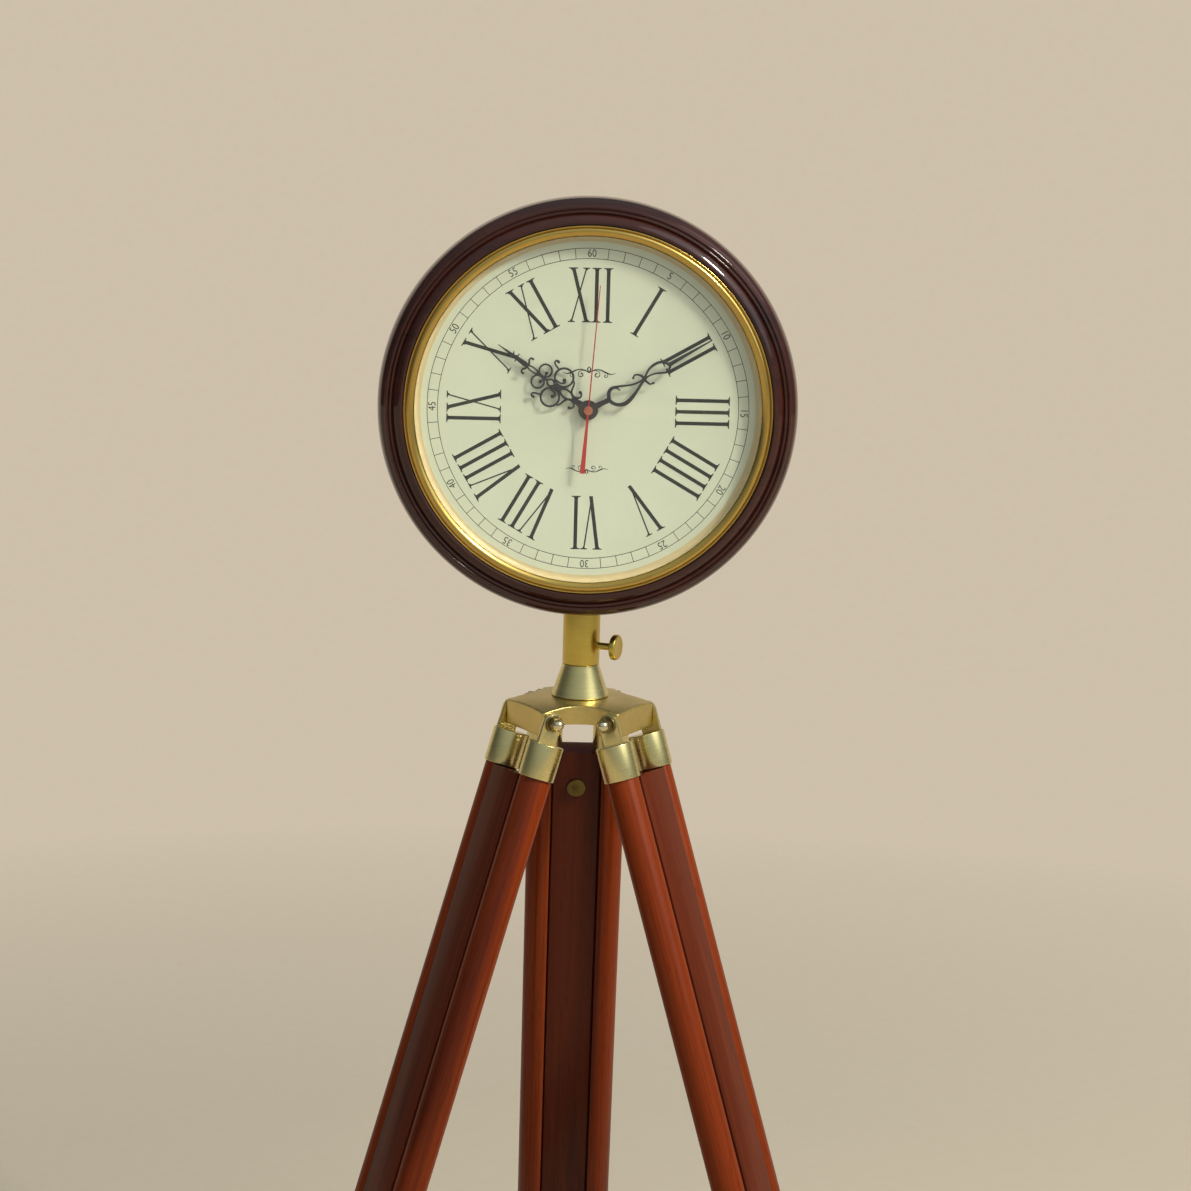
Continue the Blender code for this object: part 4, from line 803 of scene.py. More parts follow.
def flourish(height, size, degrees):
    """The ornament in both halves, centred at this height."""
    meshes = []
    for points, widths in FLOURISH:
        outline = [(x * size, y * size) for x, y in ribbon(points, widths)]
        meshes += [flat(half, PRINT_THICKNESS) for half in (outline, flipped(outline))]
    return moved(fused(meshes), shift(0, height * MM) @ turn(degrees))


def make_dial():
    dial = head("dial")
    outer, low, high = dial.high.x, dial.low.z, dial.high.z
    mesh = lathe([(DIAL_HOLE, high), (outer, high), (outer, low), (DIAL_HOLE, low)], FINE_STEPS)
    dial.dress("dial_plate", mesh, CREAM)
    prints = {
        "dial_numerals": [numeral(word, hour) for hour, word in enumerate(NUMERALS)],
        "dial_minutes": [minute_number(value) for value in range(5, 65, 5)],
        "dial_track": track_meshes(),
        "dial_ornament": [flourish(*place) for place in ORNAMENTS],
    }
    for name, meshes in prints.items():
        dial.add(name, merged(meshes), DIAL_INK, DIAL_FRAME @ shift(0, 0, high - 0.01 * MM))


# Hands: strokes across and along the hand in millimetres, with their widths

HOUR_SIDE = (
    (((7.9, 13.8), (6.9, 12.1), (4.6, 11.5), (2.4, 13.4), (2.0, 17.6), (5.0, 20.4), (9.4, 21.6),
      (12.4, 23.4)), (2.0, 1.3, 1.3, 1.5, 1.6, 1.4, 1.3, 1.0)),
    (((0.6, 15.0), (2.9, 19.4), (3.2, 23.8), (1.5, 28.4)), (2.2, 1.5, 1.5, 1.8)),
    (((17.8, 43.2), (17.5, 45.0), (15.6, 45.3), (14.2, 43.4), (13.2, 40.4), (12.2, 38.6)),
     (1.9, 1.3, 1.2, 1.2, 1.3, 1.0)),
    (((3.0, 37.4), (4.4, 35.4), (4.4, 31.6), (6.2, 29.3), (8.2, 29.6)), (1.0, 1.2, 1.3, 1.5, 2.0)),
    (((-0.2, 34.4), (2.2, 36.6), (2.4, 39.4), (-0.2, 42.4)), (1.4, 1.3, 1.3, 1.4)),
    (((0.2, 43.6), (1.8, 45.0), (3.6, 45.0)), (1.2, 1.2, 1.0)),
    (((0.2, 50.6), (1.5, 53.4), (1.6, 58.6), (0.3, 62.4)), (2.0, 1.1, 1.1, 1.6)),
    (((0.0, 61.2), (2.6, 62.0), (4.6, 63.4), (6.6, 63.2), (7.2, 61.4)), (1.6, 1.5, 1.2, 1.2, 1.5)),
    (((-0.2, 76.6), (1.4, 76.9), (3.2, 78.0)), (1.6, 1.2, 0.4)),
)
HOUR_RINGS = ((9.9, 31.8, 8.5, 1.5), (5.5, 47.4, 6.0, 1.3))
HOUR_BALLS = ((7.9, 13.9, 1.3), (8.2, 30.4, 1.6), (17.6, 43.0, 1.2), (4.3, 45.6, 1.4), (7.1, 61.2, 1.0))
HOUR_HUB = (0.0, 0.0, 8.2)
HOUR_MIDDLE = (
    (((0.0, 4.0), (0.0, 10.0), (0.0, 16.4)), (6.4, 4.4, 3.0)),
    (((0.0, 27.4), (0.0, 31.0), (0.0, 35.2)), (3.6, 3.4, 2.6)),
    (((0.0, 41.6), (0.0, 44.0), (0.0, 51.6)), (2.4, 1.6, 3.0)),
    (((0.0, 60.8), (0.0, 65.0), (0.0, 72.0), (0.0, 78.0), (0.0, 84.0)), (2.6, 3.6, 2.9, 2.0, 1.5)),
)
MINUTE_STROKES = (
    (((0.0, 3.0), (0.4, 12.0), (1.0, 19.6)), (5.2, 3.8, 3.6)),
    (((0.4, 19.0), (4.6, 20.4), (8.4, 24.0), (10.1, 29.4), (8.8, 35.8), (5.3, 43.6), (2.4, 48.8),
      (0.4, 52.8)), (3.0, 2.5, 2.5, 3.0, 2.7, 2.0, 1.9, 2.0)),
    (((1.6, 19.0), (-1.6, 20.2), (-4.7, 22.2), (-6.2, 25.8), (-4.8, 31.4), (-2.7, 36.4), (-0.8, 41.3),
      (0.2, 46.5), (0.3, 52.6)), (2.6, 2.6, 2.6, 2.4, 1.6, 1.3, 1.3, 1.3, 1.6)),
    (((-5.8, 27.6), (-4.2, 29.6), (-2.2, 30.4)), (1.6, 1.4, 0.6)),
    (((0.8, 53.0), (-2.2, 52.4), (-5.0, 50.4), (-6.4, 47.6), (-5.2, 45.4)), (1.8, 1.6, 1.3, 1.2, 1.2)),
    (((0.0, 52.0), (3.4, 53.4), (6.2, 54.8), (6.9, 57.6)), (1.8, 1.5, 1.3, 1.0)),
    (((0.3, 52.6), (-2.1, 55.6), (-4.7, 59.6), (-6.0, 65.0), (-5.6, 70.2), (-3.4, 73.8), (0.2, 76.6)),
     (1.8, 1.5, 1.6, 1.9, 1.9, 1.8, 2.4)),
    (((0.4, 52.6), (-0.1, 57.5), (0.8, 62.8), (2.9, 67.5), (4.4, 71.6), (3.0, 74.8), (0.0, 77.4)),
     (1.8, 1.2, 1.2, 1.3, 1.4, 1.6, 2.2)),
    (((2.2, 73.6), (3.8, 72.4), (5.6, 72.6)), (1.6, 1.5, 0.6)),
)
MINUTE_BALLS = ((-5.0, 45.2, 1.0), (6.9, 57.6, 1.0), (-2.0, 30.6, 0.7), (0.0, 0.0, 7.6), (0.4, 52.6, 2.0))
# Where each hand's blade starts, and its width there and at the tip
HOUR_BLADE = (76.0, 2.3, 0.6)
MINUTE_BLADE = (75.6, 3.4, 1.0)


def ball(x, y, radius):
    return flat(circle(radius, 20, x, y), HAND_THICKNESS)


def ring_plate(x, y, radius, width):
    hole = circle(radius - width * STROKE_WEIGHT, 56, x, y)
    return flat(circle(radius, 56, x, y), HAND_THICKNESS, hole)


def blade(tip, foot, foot_width, tip_width):
    half, end = foot_width / 2, tip_width / 2
    edge = [(-half, foot), (half, foot), (end, tip - end), (0, tip), (-end, tip - end)]
    return flat(edge, HAND_THICKNESS)


def stroke_plates(strokes):
    heavy = [ribbon(points, [width * STROKE_WEIGHT for width in widths]) for points, widths in strokes]
    return [flat(outline, HAND_THICKNESS) for outline in heavy]


def measured_hand(node, rise=0.0):
    """The hand in a frame of its own with its back at z = 0, its length, and where its arbor ends."""
    hand = head(node)
    tip = max(hand.points, key=lambda p: p.x**2 + p.y**2)
    back = hand.high.z - HAND_THICKNESS - rise
    hand.place = DIAL_FRAME @ shift(0, 0, back) @ turn(-math.degrees(math.atan2(tip.x, tip.y)))
    return hand, math.hypot(tip.x, tip.y) / MM, hand.low.z - back


def finish_hand(hand, name, pieces, bore, tail):
    """The pieces fused, drilled, and joined to the tubular arbor that runs back into the movement."""
    hole = round_bar(bore, -HAND_THICKNESS, 2 * HAND_THICKNESS)
    front, radius = HAND_THICKNESS / 2, bore + ARBOR_WALL
    tube = lathe([(radius, front), (radius, tail), (bore, tail), (bore, front)], SMALL_STEPS)
    mesh = fused([fused(pieces, removed(hole)), tube], softened(HAND_EDGE, 1))
    hand.dress(name, mesh, HAND_BLACK)


def make_hour_hand():
    hand, length, tail = measured_hand("hour_hand")
    left = [(flipped(points), widths) for points, widths in HOUR_SIDE]
    pieces = stroke_plates([*HOUR_MIDDLE, *HOUR_SIDE, *left])
    for sign in (1, -1):
        pieces += [ring_plate(sign * x, y, r, w) for x, y, r, w in HOUR_RINGS]
        pieces += [ball(sign * x, y, r) for x, y, r in HOUR_BALLS]
    pieces += [ball(*HOUR_HUB), blade(length, *HOUR_BLADE)]
    finish_hand(hand, "hour_pointer", pieces, HOUR_BORE, tail)


def make_minute_hand():
    hand, length, tail = measured_hand("minute_hand")
    pieces = stroke_plates(MINUTE_STROKES) + [ball(*place) for place in MINUTE_BALLS]
    finish_hand(hand, "minute_pointer", [*pieces, blade(length, *MINUTE_BLADE)], MINUTE_BORE, tail)


def make_second_hand():
    hand, length, tail = measured_hand("second_hand", CAP_HEIGHT)
    needle = [(-0.55, 2.0), (0.55, 2.0), (0.35, length), (-0.35, length)]
    weight = [(-0.8, -2.0), (-2.1, -52.5), (2.1, -52.5), (0.8, -2.0)]
    plates = [ball(0, 0, 3.4), flat(needle, HAND_THICKNESS), flat(weight, HAND_THICKNESS)]
    pin = round_bar(SECOND_ARBOR, tail, HAND_THICKNESS / 2, 16)
    hand.dress("second_pointer", fused([*plates, pin], softened(HAND_EDGE, 1)), HAND_RED)
    top, foot, radius = HAND_THICKNESS + CAP_HEIGHT, HAND_THICKNESS * 0.9, 3.7 * MM
    crown = [(radius * out, top - drop * MM) for out, drop in ((0, 0), (0.45, 0.03), (0.8, 0.16), (1, 0.42))]
    hand.add("second_cap", lathe([*crown, (radius, foot), (0, foot)], SMALL_STEPS), COPPER)


# Neck, cone and post


def neck(node):
    return Part(node, HEAD_FRAME)


def make_sleeve():
    sleeve = neck("neck_sleeve")
    low, high, radius = sleeve.turned
    outline = eased_side(radius, high, low, 0.4 * MM)
    outline += staircase((radius - SLEEVE_WALL, 4.3 * MM), (low, high - 14.0 * MM, high))
    hole = round_bar(SCREW_HOLE, -6.0 * MM, 6.0 * MM)
    hole = moved(hole, HEAD_FRAME.inverted() @ screw_frame("neck_screw"))
    sleeve.dress("sleeve", worked(lathe(outline), removed(hole)), TUBE_BRASS)


def make_cone():
    cone, tube = neck("head_cone"), neck("neck_sleeve").radius
    low, high, radius = cone.turned
    bore, edge, fine = tube - SLEEVE_WALL, 0.8 * MM, 0.2 * MM
    outline = [(bore, high), (tube - 0.5 * MM, high), (tube, high - 0.4 * MM)]
    outline += [(tube + 0.25 * MM, high - 2.0 * MM), (radius - fine, low + 2 * edge), (radius, low + edge)]
    outline += [(radius - fine, low + fine), (radius - edge, low), (bore, low)]
    cone.dress("cone", lathe(outline), FERRULE_BRASS)


def make_post():
    """The post over which the sleeve drops, and its threaded stud."""
    post = neck("centre_post")
    low, high, radius = post.turned
    stud, step = post.foot_radius(), post.shoulder()
    edge, pitch, depth = 0.8 * MM, 1.0 * MM, 0.55 * MM
    outline = [(0, high), (radius - edge, high), (radius, high - edge), (radius, step + PLAY)]
    outline += [(radius - PLAY, step), (stud, step)]
    level = step - 4 * pitch
    while level > low + 2 * pitch:
        outline += [(stud, level), (stud - depth, level - pitch / 2)]
        level -= pitch
    outline += [(stud, level), (stud - edge, low), (0, low)]
    post.dress("post", lathe(outline), STEEL)


def hex_bar(corner, low, high):
    return plate(circle(corner, 6), high - low, low)


def hex_nut(low, high, corner, bore):
    """A six-sided nut with its corners chamfered to a round face."""
    chamfer, outside, face = 0.5 * MM, corner + 0.05 * MM, corner * math.cos(math.pi / 6)
    side = [(face, high), (outside, high - chamfer), (outside, low + chamfer), (face, low)]
    steps = [kept(lathe([(0, high), *side, (0, low)]))]
    if bore:
        steps.append(removed(round_bar(bore, low - MM, high + MM)))
    return worked(hex_bar(corner, low, high), *steps)


def make_centre_nut():
    nut = neck("centre_nut")
    nut.dress("head_nut", hex_nut(nut.low.z, nut.high.z, nut.radius, 6.25 * MM), STEEL)


def thumb_screw(name, node, joint_name):
    """A round flat head with rounded edges and a dished face, on a plain shank."""
    screw = Part(node, screw_frame(joint_name))
    low, high, radius = screw.turned
    shank, under = screw.foot_radius(), screw.shoulder(2 * MM)
    dish, ease = 0.35 * MM, 0.5 * MM
    outline = [(0, high - dish), (radius * 0.5, high - dish), (radius * 0.72, high - dish * 0.4)]
    outline += eased_side(radius, high, under, 1.7 * MM, 6)
    outline += [(shank * 1.35, under), (shank * 1.05, under - 0.9 * MM), (shank, under - 1.6 * MM)]
    outline += [(shank, low + ease), (shank - ease, low), (0, low)]
    screw.dress(name, lathe(outline, ROUND_STEPS, math.radians(40)), TUBE_BRASS)


def make_neck_bolt():
    bolt = neck("neck_bolt")
    low, high, radius = bolt.turned
    shank, seat, edge = bolt.foot_radius(), bolt.shoulder(), 0.5 * MM
    outline = [(0, high), *arc((radius - edge, high - edge), edge, 90, 0, 4), (radius, seat)]
    outline += [(shank, seat), (shank, low + edge), (shank - edge, low), (0, low)]
    socket = hex_bar(3.4 * MM, high - 2.6 * MM, high + 1.4 * MM)
    bolt.dress("clamp_bolt", worked(lathe(outline, SMALL_STEPS), removed(socket)), STEEL)


# Tripod head casting


def casting_chord(half):
    """Half the width of the hollow between two lobes."""
    return CASTING_ROOT * math.sin(math.radians(60)) - half * math.cos(math.radians(60))


def turned_point(azimuth, outward, across):
    t = math.radians(azimuth)
    return (outward * math.cos(t) - across * math.sin(t), outward * math.sin(t) + across * math.cos(t))


def casting_plan(reach, half, inset, corner):
    """Three lobes with flat sides and rounded corners, joined by hollow curves."""
    reach, half = reach - inset, half - inset
    sixty, thirty = math.radians(60), math.radians(30)
    radius = casting_chord(half) / math.sin(thirty)
    middle_out = CASTING_ROOT * math.cos(sixty) + half * math.sin(sixty) + radius * math.cos(thirty)
    lobe = [(CASTING_ROOT, -half), *arc((reach - corner, corner - half), corner, -90, 0, 6)]
    lobe += [*arc((reach - corner, half - corner), corner, 0, 90, 6), (CASTING_ROOT, half)]
    bends = [thirty * (1 - i / 12) for i in range(1, 24)]
    hollow = [(middle_out - radius * math.cos(t), -radius * math.sin(t)) for t in bends]
    points = []
    for azimuth in LEG_AZIMUTHS:
        points += [turned_point(azimuth, *p) for p in lobe]
        points += [turned_point(azimuth + 60.0, *p) for p in hollow]
    return points


def make_casting():
    casting = neck("head_casting")
    low, high, reach = casting.low.z, casting.high.z, casting.high.y
    half = max(abs(p.x) for p in casting.points if p.y > reach - MM)
    body = plate(casting_plan(reach, half, 0.0, 2.5 * MM), casting.height + 2 * MM, low)
    corner, flat_top = math.hypot(reach, half), 24.3 * MM
    crown = [(0, high)]
    for t in [i / 12 for i in range(13)]:
        crown.append((flat_top + (corner - flat_top) * t, high - CASTING_DROOP * t**2))
    outside = corner + 4 * MM
    crown += [(outside, high - CASTING_DROOP), (outside, low - MM), (0, low - MM)]
    hollow_plan = casting_plan(reach, half, CASTING_WALL, 1.5 * MM)
    hollow = plate(hollow_plan, high - CASTING_PLATE - low + 4 * MM, low - 4 * MM)
    stud = round_bar(6.3 * MM, low, high + 4 * MM)
    steps = [kept(lathe(crown, FINE_STEPS)), removed(hollow), removed(stud)]
    rise, side = casting.height - CASTING_SKIRT, casting_chord(half) - ARCH_MARGIN
    edge = [*arc((ARCH_CORNER - rise, side - ARCH_CORNER), ARCH_CORNER, 180, 90, 6), (MM, side)]
    edge = [(x, -y) for x, y in reversed(edge)] + edge
    for azimuth in LEG_AZIMUTHS:
        arch = moved(plate(edge, reach), shift(0, 0, low) @ turn(azimuth + 60) @ turn(90, "Y"))
        steps.append(removed(arch))
    for place in LEG_FRAMES.values():
        bolt = round_bar(BOLT_RADIUS + PLAY, -half - 4 * MM, half + 4 * MM)
        steps.append(removed(moved(bolt, HEAD_FRAME.inverted() @ place @ turn(-90, "X"))))
    steps.append(("REMESH", {"mode": "VOXEL", "voxel_size": CASTING_VOXEL, "use_smooth_shade": True}, None))
    steps.append(("SMOOTH", {"factor": 0.5, "iterations": 5}, None))
    steps.append(("DECIMATE", {"ratio": 0.45}, None))
    casting.dress("tripod_casting", worked(body, *steps, angle=math.radians(60)), CAST_BRASS)


# Legs


def of_leg(kind, name, letter=""):
    """A node of this leg, measured in the leg's frame."""
    return Part("_".join(filter(None, (kind, name, letter))), LEG_FRAMES[name])


def make_ferrule(name, letter):
    """A cup over the rail's end, with a flat tang: the tang's points are the ones above the hinge."""
    part = of_leg("ferrule", name, letter)
    above = [p.y for p in part.points if p.z > 0]
    tang_y = (min(above) + max(above)) / 2
    radius, low = part.half.x, part.low.z
    top = max(p.z for p in part.points if abs(p.y - tang_y) > TANG_THICKNESS)
    bore, roof = radius - FERRULE_WALL, top - 2 * MM
    edge, rim = 0.7 * MM, 0.4 * MM
    outline = [(0, top), *arc((radius - edge, top - edge), edge, 90, 0, 5)]
    outline += [*arc((radius - rim, low + rim), rim, 0, -90, 3), (bore, low), (bore, roof), (0, roof)]
    cup = moved(lathe(outline), shift(part.middle.x, part.middle.y))
    tang = moved(tang_plate(part.high.z, top), shift(0, tang_y) @ turn(90, "X"))
    part.dress(f"socket_{name}_{letter}", fused([cup, tang]), FERRULE_BRASS)


def tang_plate(half, foot):
    """The flat round-topped plate that pivots beside the lobe, drilled for the bolt."""
    edge = [(half, foot - MM), *arc((0, 0), half, 0, 180, 32), (-half, foot - MM)]
    hole = arc((0, 0), BOLT_RADIUS + PLAY, 360, 0, 32)[:-1]
    return worked(plate(edge, TANG_THICKNESS, -TANG_THICKNESS / 2, hole), softened(0.5 * MM))


def make_rail(name, letter, side):
    """A round wooden rail with a flat and a groove that face the centre board."""
    part, centre = of_leg("rail", name, letter), of_leg("ferrule", name, letter).middle
    radius, ease = part.half.x, 0.5 * MM
    start = math.degrees(math.acos(RAIL_FLAT / radius))
    groove = side * (of_leg("centre_board", name).middle.x - centre.x)
    upper, lower = groove + TONGUE / 2 + PLAY, groove - TONGUE / 2 - PLAY
    floor = RAIL_FLAT - TONGUE_DEPTH - PLAY
    seam = radius * math.sin(math.radians(start)) - SEAM_EASE
    edge = arc((0, 0), radius, start + 8, 352 - start, 56)
    edge += [(RAIL_FLAT, -seam), (RAIL_FLAT, lower - ease), (RAIL_FLAT - ease, lower), (floor, lower)]
    edge += [(floor, upper), (RAIL_FLAT - ease, upper), (RAIL_FLAT, upper + ease), (RAIL_FLAT, seam)]
    rail = worked(plate(edge, part.height, part.low.z), softened(0.4 * MM))
    square = squared(part.place)
    inside = square.inverted() @ part.place @ shift(centre.x, centre.y) @ turn(-90 * side)
    part.dress(f"pole_{name}_{letter}", moved(rail, inside), LEG_WOOD, square)


def squared(place):
    """The same frame turned about its Z until its X points nearest along the world's X."""
    return place @ Matrix.Rotation(-math.atan2(place[1][0], place[0][0]), 4, "Z")


def make_board(name):
    """The sliding board: eased edges, a tongue on each side, and a deep narrow seam beside each rail."""
    part = of_leg("centre_board", name)
    half, reach = part.half.x, part.high.y
    side, tongue, inner = reach - TONGUE_DEPTH, TONGUE / 2, half - SEAM_DEPTH
    upper = [(tongue - 0.4 * MM, reach), (tongue, reach - 0.4 * MM), (tongue, side)]
    upper += [(inner, side), (inner, side - SEAM_WIDTH)]
    upper += arc((half - SEAM_EASE, side - SEAM_WIDTH - SEAM_EASE), SEAM_EASE, 90, 0, 4)
    right = upper + [(x, -y) for x, y in reversed(upper)]
    slab = plate(right + [(-x, -y) for x, y in right], part.height, part.low.z)
    # The board's darker wood is painted shade.
    part.dress(f"board_{name}", moved(worked(slab, softened(0.6 * MM)), shift(part.middle.x)), BOARD_WOOD_PAINTED_SHADE)


def make_disc(name):
    """A brass disc held by a round-headed slotted screw."""
    part = of_leg("board_disc", name)
    place = part.place @ shift(part.high.x, 0, part.middle.z) @ turn(-90, "Y")
    radius, thick, edge = part.half.z, 2.0 * MM, 0.7 * MM
    step, inner, outer = thick + 0.3 * MM, 4.6 * MM, 5.0 * MM
    rim = arc((radius - MM, thick - edge), edge, 90, 0, 4)
    washer = lathe([(0, thick), *rim, (radius, 0), (0, 0)])
    boss = lathe([(0, step), (inner, step), (outer, thick), (outer, thick / 2), (0, thick / 2)])
    head_mesh = screw_head(3.4 * MM, thick, part.high.x - part.low.x)
    part.dress(f"disc_{name}", fused([washer, boss, head_mesh]), OLD_BRASS, place)


def screw_head(radius, low, high):
    """A low round screw head with a straight slot."""
    rise, foot = high - low, low - 0.3 * MM
    outline = [(radius * t, low + rise * math.sqrt(1 - (0.92 * t) ** 2)) for t in [i / 8 for i in range(9)]]
    slot = plate(scaled([(-5, -0.45), (5, -0.45), (5, 0.45), (-5, 0.45)]), 2 * MM, high - 0.8 * MM)
    return worked(lathe([*outline, (radius, foot), (0, foot)], SMALL_STEPS), removed(moved(slot, turn(35))))


def make_bolt(name):
    """A domed-headed hinge bolt with its shank."""
    part = of_leg("hinge_bolt", name)
    radius = max(math.hypot(p.x, p.z) for p in part.points)
    head_side = 1 if sum(p.y for p in part.points if math.hypot(p.x, p.z) > radius - 0.2 * MM) > 0 else -1
    end, outside = span([head_side * p.y for p in part.points])
    seat, ease = outside - BOLT_DOME, 0.5 * MM
    dome = [math.radians(angle) for angle in range(0, 81, 9)]
    outline = [(radius * math.sin(t), seat + BOLT_DOME * math.cos(t)) for t in dome]
    outline += [(radius, seat + ease), (radius, seat), (BOLT_RADIUS, seat), (BOLT_RADIUS, end + ease)]
    outline += [(BOLT_RADIUS - ease, end), (0, end)]
    socket = hex_bar(2.2 * MM, seat + 1.6 * MM, seat + 5.6 * MM)
    mesh = worked(lathe(outline, SMALL_STEPS), removed(socket))
    part.dress(f"pivot_{name}", mesh, STEEL, part.place @ turn(-90 * head_side, "X"))


def make_acorn(name):
    """A flanged six-sided nut with a polished dome; the hex and flange get darker brass as painted shade."""
    part = of_leg("acorn_nut", name)
    side = 1 if part.high.y > -part.low.y else -1
    seat, end = span([side * p.y for p in part.points])
    length = end - seat
    radius = max(math.hypot(p.x, p.z) for p in part.points)
    hex_top, edge = length - DOME_RADIUS, 0.4 * MM
    rim = arc((radius - edge, FLANGE_THICKNESS - edge), edge, 90, 0, 4)
    flange = lathe([(0, FLANGE_THICKNESS), *rim, (radius, 0), (0, 0)], SMALL_STEPS)
    bore_radius = BOLT_RADIUS + PLAY
    bore = lathe([(0, 7.6 * MM), (bore_radius, 6.2 * MM), (bore_radius, -MM), (0, -MM)], SMALL_STEPS)
    nut = fused([hex_nut(0, hex_top, HEX_RADIUS, 0), flange], removed(bore))
    place = part.place @ shift(0, side * seat) @ turn(-90 * side, "X") @ Matrix.Rotation(0.3, 4, "Z")
    part.dress(f"cap_nut_{name}", nut, HEX_BRASS_PAINTED_SHADE, place)
    foot = hex_top - 0.4 * MM
    dome = [(0, length), *arc((0, hex_top), DOME_RADIUS, 85, 0, 12), (DOME_RADIUS, foot), (0, foot)]
    part.add(f"nut_dome_{name}", lathe(dome, SMALL_STEPS), CAP_BRASS, place)


def slot_outline(reach, radius):
    """A slot shape along Y with round ends."""
    upper = arc((0, reach), radius, 0, 180, 24)
    return upper + [(-x, -y) for x, y in upper]


def make_collar(name):
    part, rail = of_leg("collar", name), of_leg("ferrule", name, "left").middle
    reach = abs(rail.y)
    radius = part.high.y - reach
    bore = radius - CUP_WALL
    band = plate(slot_outline(reach, radius), part.height, part.low.z, slot_outline(reach, bore)[::-1])
    band = moved(worked(band, softened(0.5 * MM)), shift(rail.x))
    length = part.high.x - rail.x - bore
    out = shift(rail.x + bore, 0, part.middle.z) @ turn(90, "Y")
    boss = moved(round_bar(6.5 * MM, MM, length, SMALL_STEPS, 0.6 * MM), out)
    hole = moved(round_bar(SCREW_HOLE, -4 * MM, length + 4 * MM), out)
    mesh = moved(fused([band, boss], removed(hole)), part.place)
    part.dress(f"band_{name}", mesh, FERRULE_BRASS, Matrix())


def make_shoe(name):
    """The brass cup over the board's lower end, with rounded corners and a rolled rim."""
    part = of_leg("shoe", name)
    half_x, half_y, low = part.half.x, part.high.y, part.low.z
    block = plate(rounded_rectangle(half_x, half_y, 2.4 * MM), part.height, low)
    hollow = rounded_rectangle(half_x - CUP_WALL, half_y - CUP_WALL, 0.6 * MM)
    cup = worked(block, softened(0.7 * MM), removed(plate(hollow, part.height, low + CUP_WALL)))
    part.dress(f"cup_{name}", moved(cup, shift(part.middle.x)), FERRULE_BRASS)


def make_pad(name):
    """The rubber pad, with its sole cut level with the floor."""
    part = of_leg("pad", name)
    low, high, reach = part.low, part.high, 40 * MM
    block = plate(rounded_rectangle(part.half.x, high.y, 3.0 * MM), part.height, low.z)
    block = moved(worked(block, softened(0.8 * MM)), shift(part.middle.x))
    inner = min(p.z for p in part.points if p.x < low.x + 0.1 * MM)
    outer = min(p.z for p in part.points if p.x > high.x - 0.1 * MM)
    slope = (outer - inner) / (high.x - low.x)
    wedge = [(low.x - reach, inner - slope * reach), (high.x + reach, outer + slope * reach)]
    wedge += [(high.x + reach, low.z - reach), (low.x - reach, low.z - reach)]
    sole = moved(plate(wedge, 2 * reach, -reach), turn(90, "X"))
    part.dress(f"sole_{name}", moved(worked(block, removed(sole)), part.place), RUBBER, Matrix())


def make_leg(name):
    for letter, side in (("left", 1), ("right", -1)):
        make_ferrule(name, letter)
        make_rail(name, letter, side)
    for make_part in (make_board, make_disc, make_bolt, make_acorn, make_collar):
        make_part(name)
    thumb_screw(f"leg_screw_{name}", f"clamp_screw_{name}", f"clamp_screw_{name}")
    make_shoe(name)
    make_pad(name)


# Back board and movement


def make_back_board():
    board = head("back_board")
    disc = round_bar(board.high.x, board.low.z, board.high.z, FINE_STEPS, 0.5 * MM, 3)
    window = rounded_rectangle(ACCESS_WIDTH / 2, ACCESS_HEIGHT / 2, MM, 4)
    cuts = [plate(window, 20 * MM, board.low.z - 7 * MM)]
    for number in BACK_SCREWS:
        centre = head(f"back_screw_{number}").middle
        hole = round_bar(1.8 * MM, -10 * MM, 10 * MM, COARSE_STEPS)
        cuts.append(moved(hole, shift(centre.x, centre.y, board.low.z)))
    board.dress("rear_board", worked(disc, *map(removed, cuts)), BACK_WOOD)


def make_back_screw(number):
    """A round-headed wood screw with a threaded shank."""
    screw = head(f"back_screw_{number}")
    rise, root, crest, pitch = 1.6 * MM, 1.2 * MM, 1.5 * MM, 1.2 * MM
    seat = screw.low.z + rise
    length = screw.high.z - seat
    shank = [(0, 0.2 * MM), (root, 0.2 * MM)]
    level = 0.0
    while level < length - 2 * pitch:
        shank += [(root, -level), (crest, -level - pitch / 3), (root, -level - pitch * 2 / 3)]
        level += pitch
    mesh = fused([screw_head(screw.half.x, 0, rise), lathe([*shank, (0, -length)], COARSE_STEPS)])
    place = DIAL_FRAME @ shift(screw.middle.x, screw.middle.y, seat) @ turn(180, "X")
    screw.dress(f"wood_screw_{number}", mesh, OLD_BRASS, place)


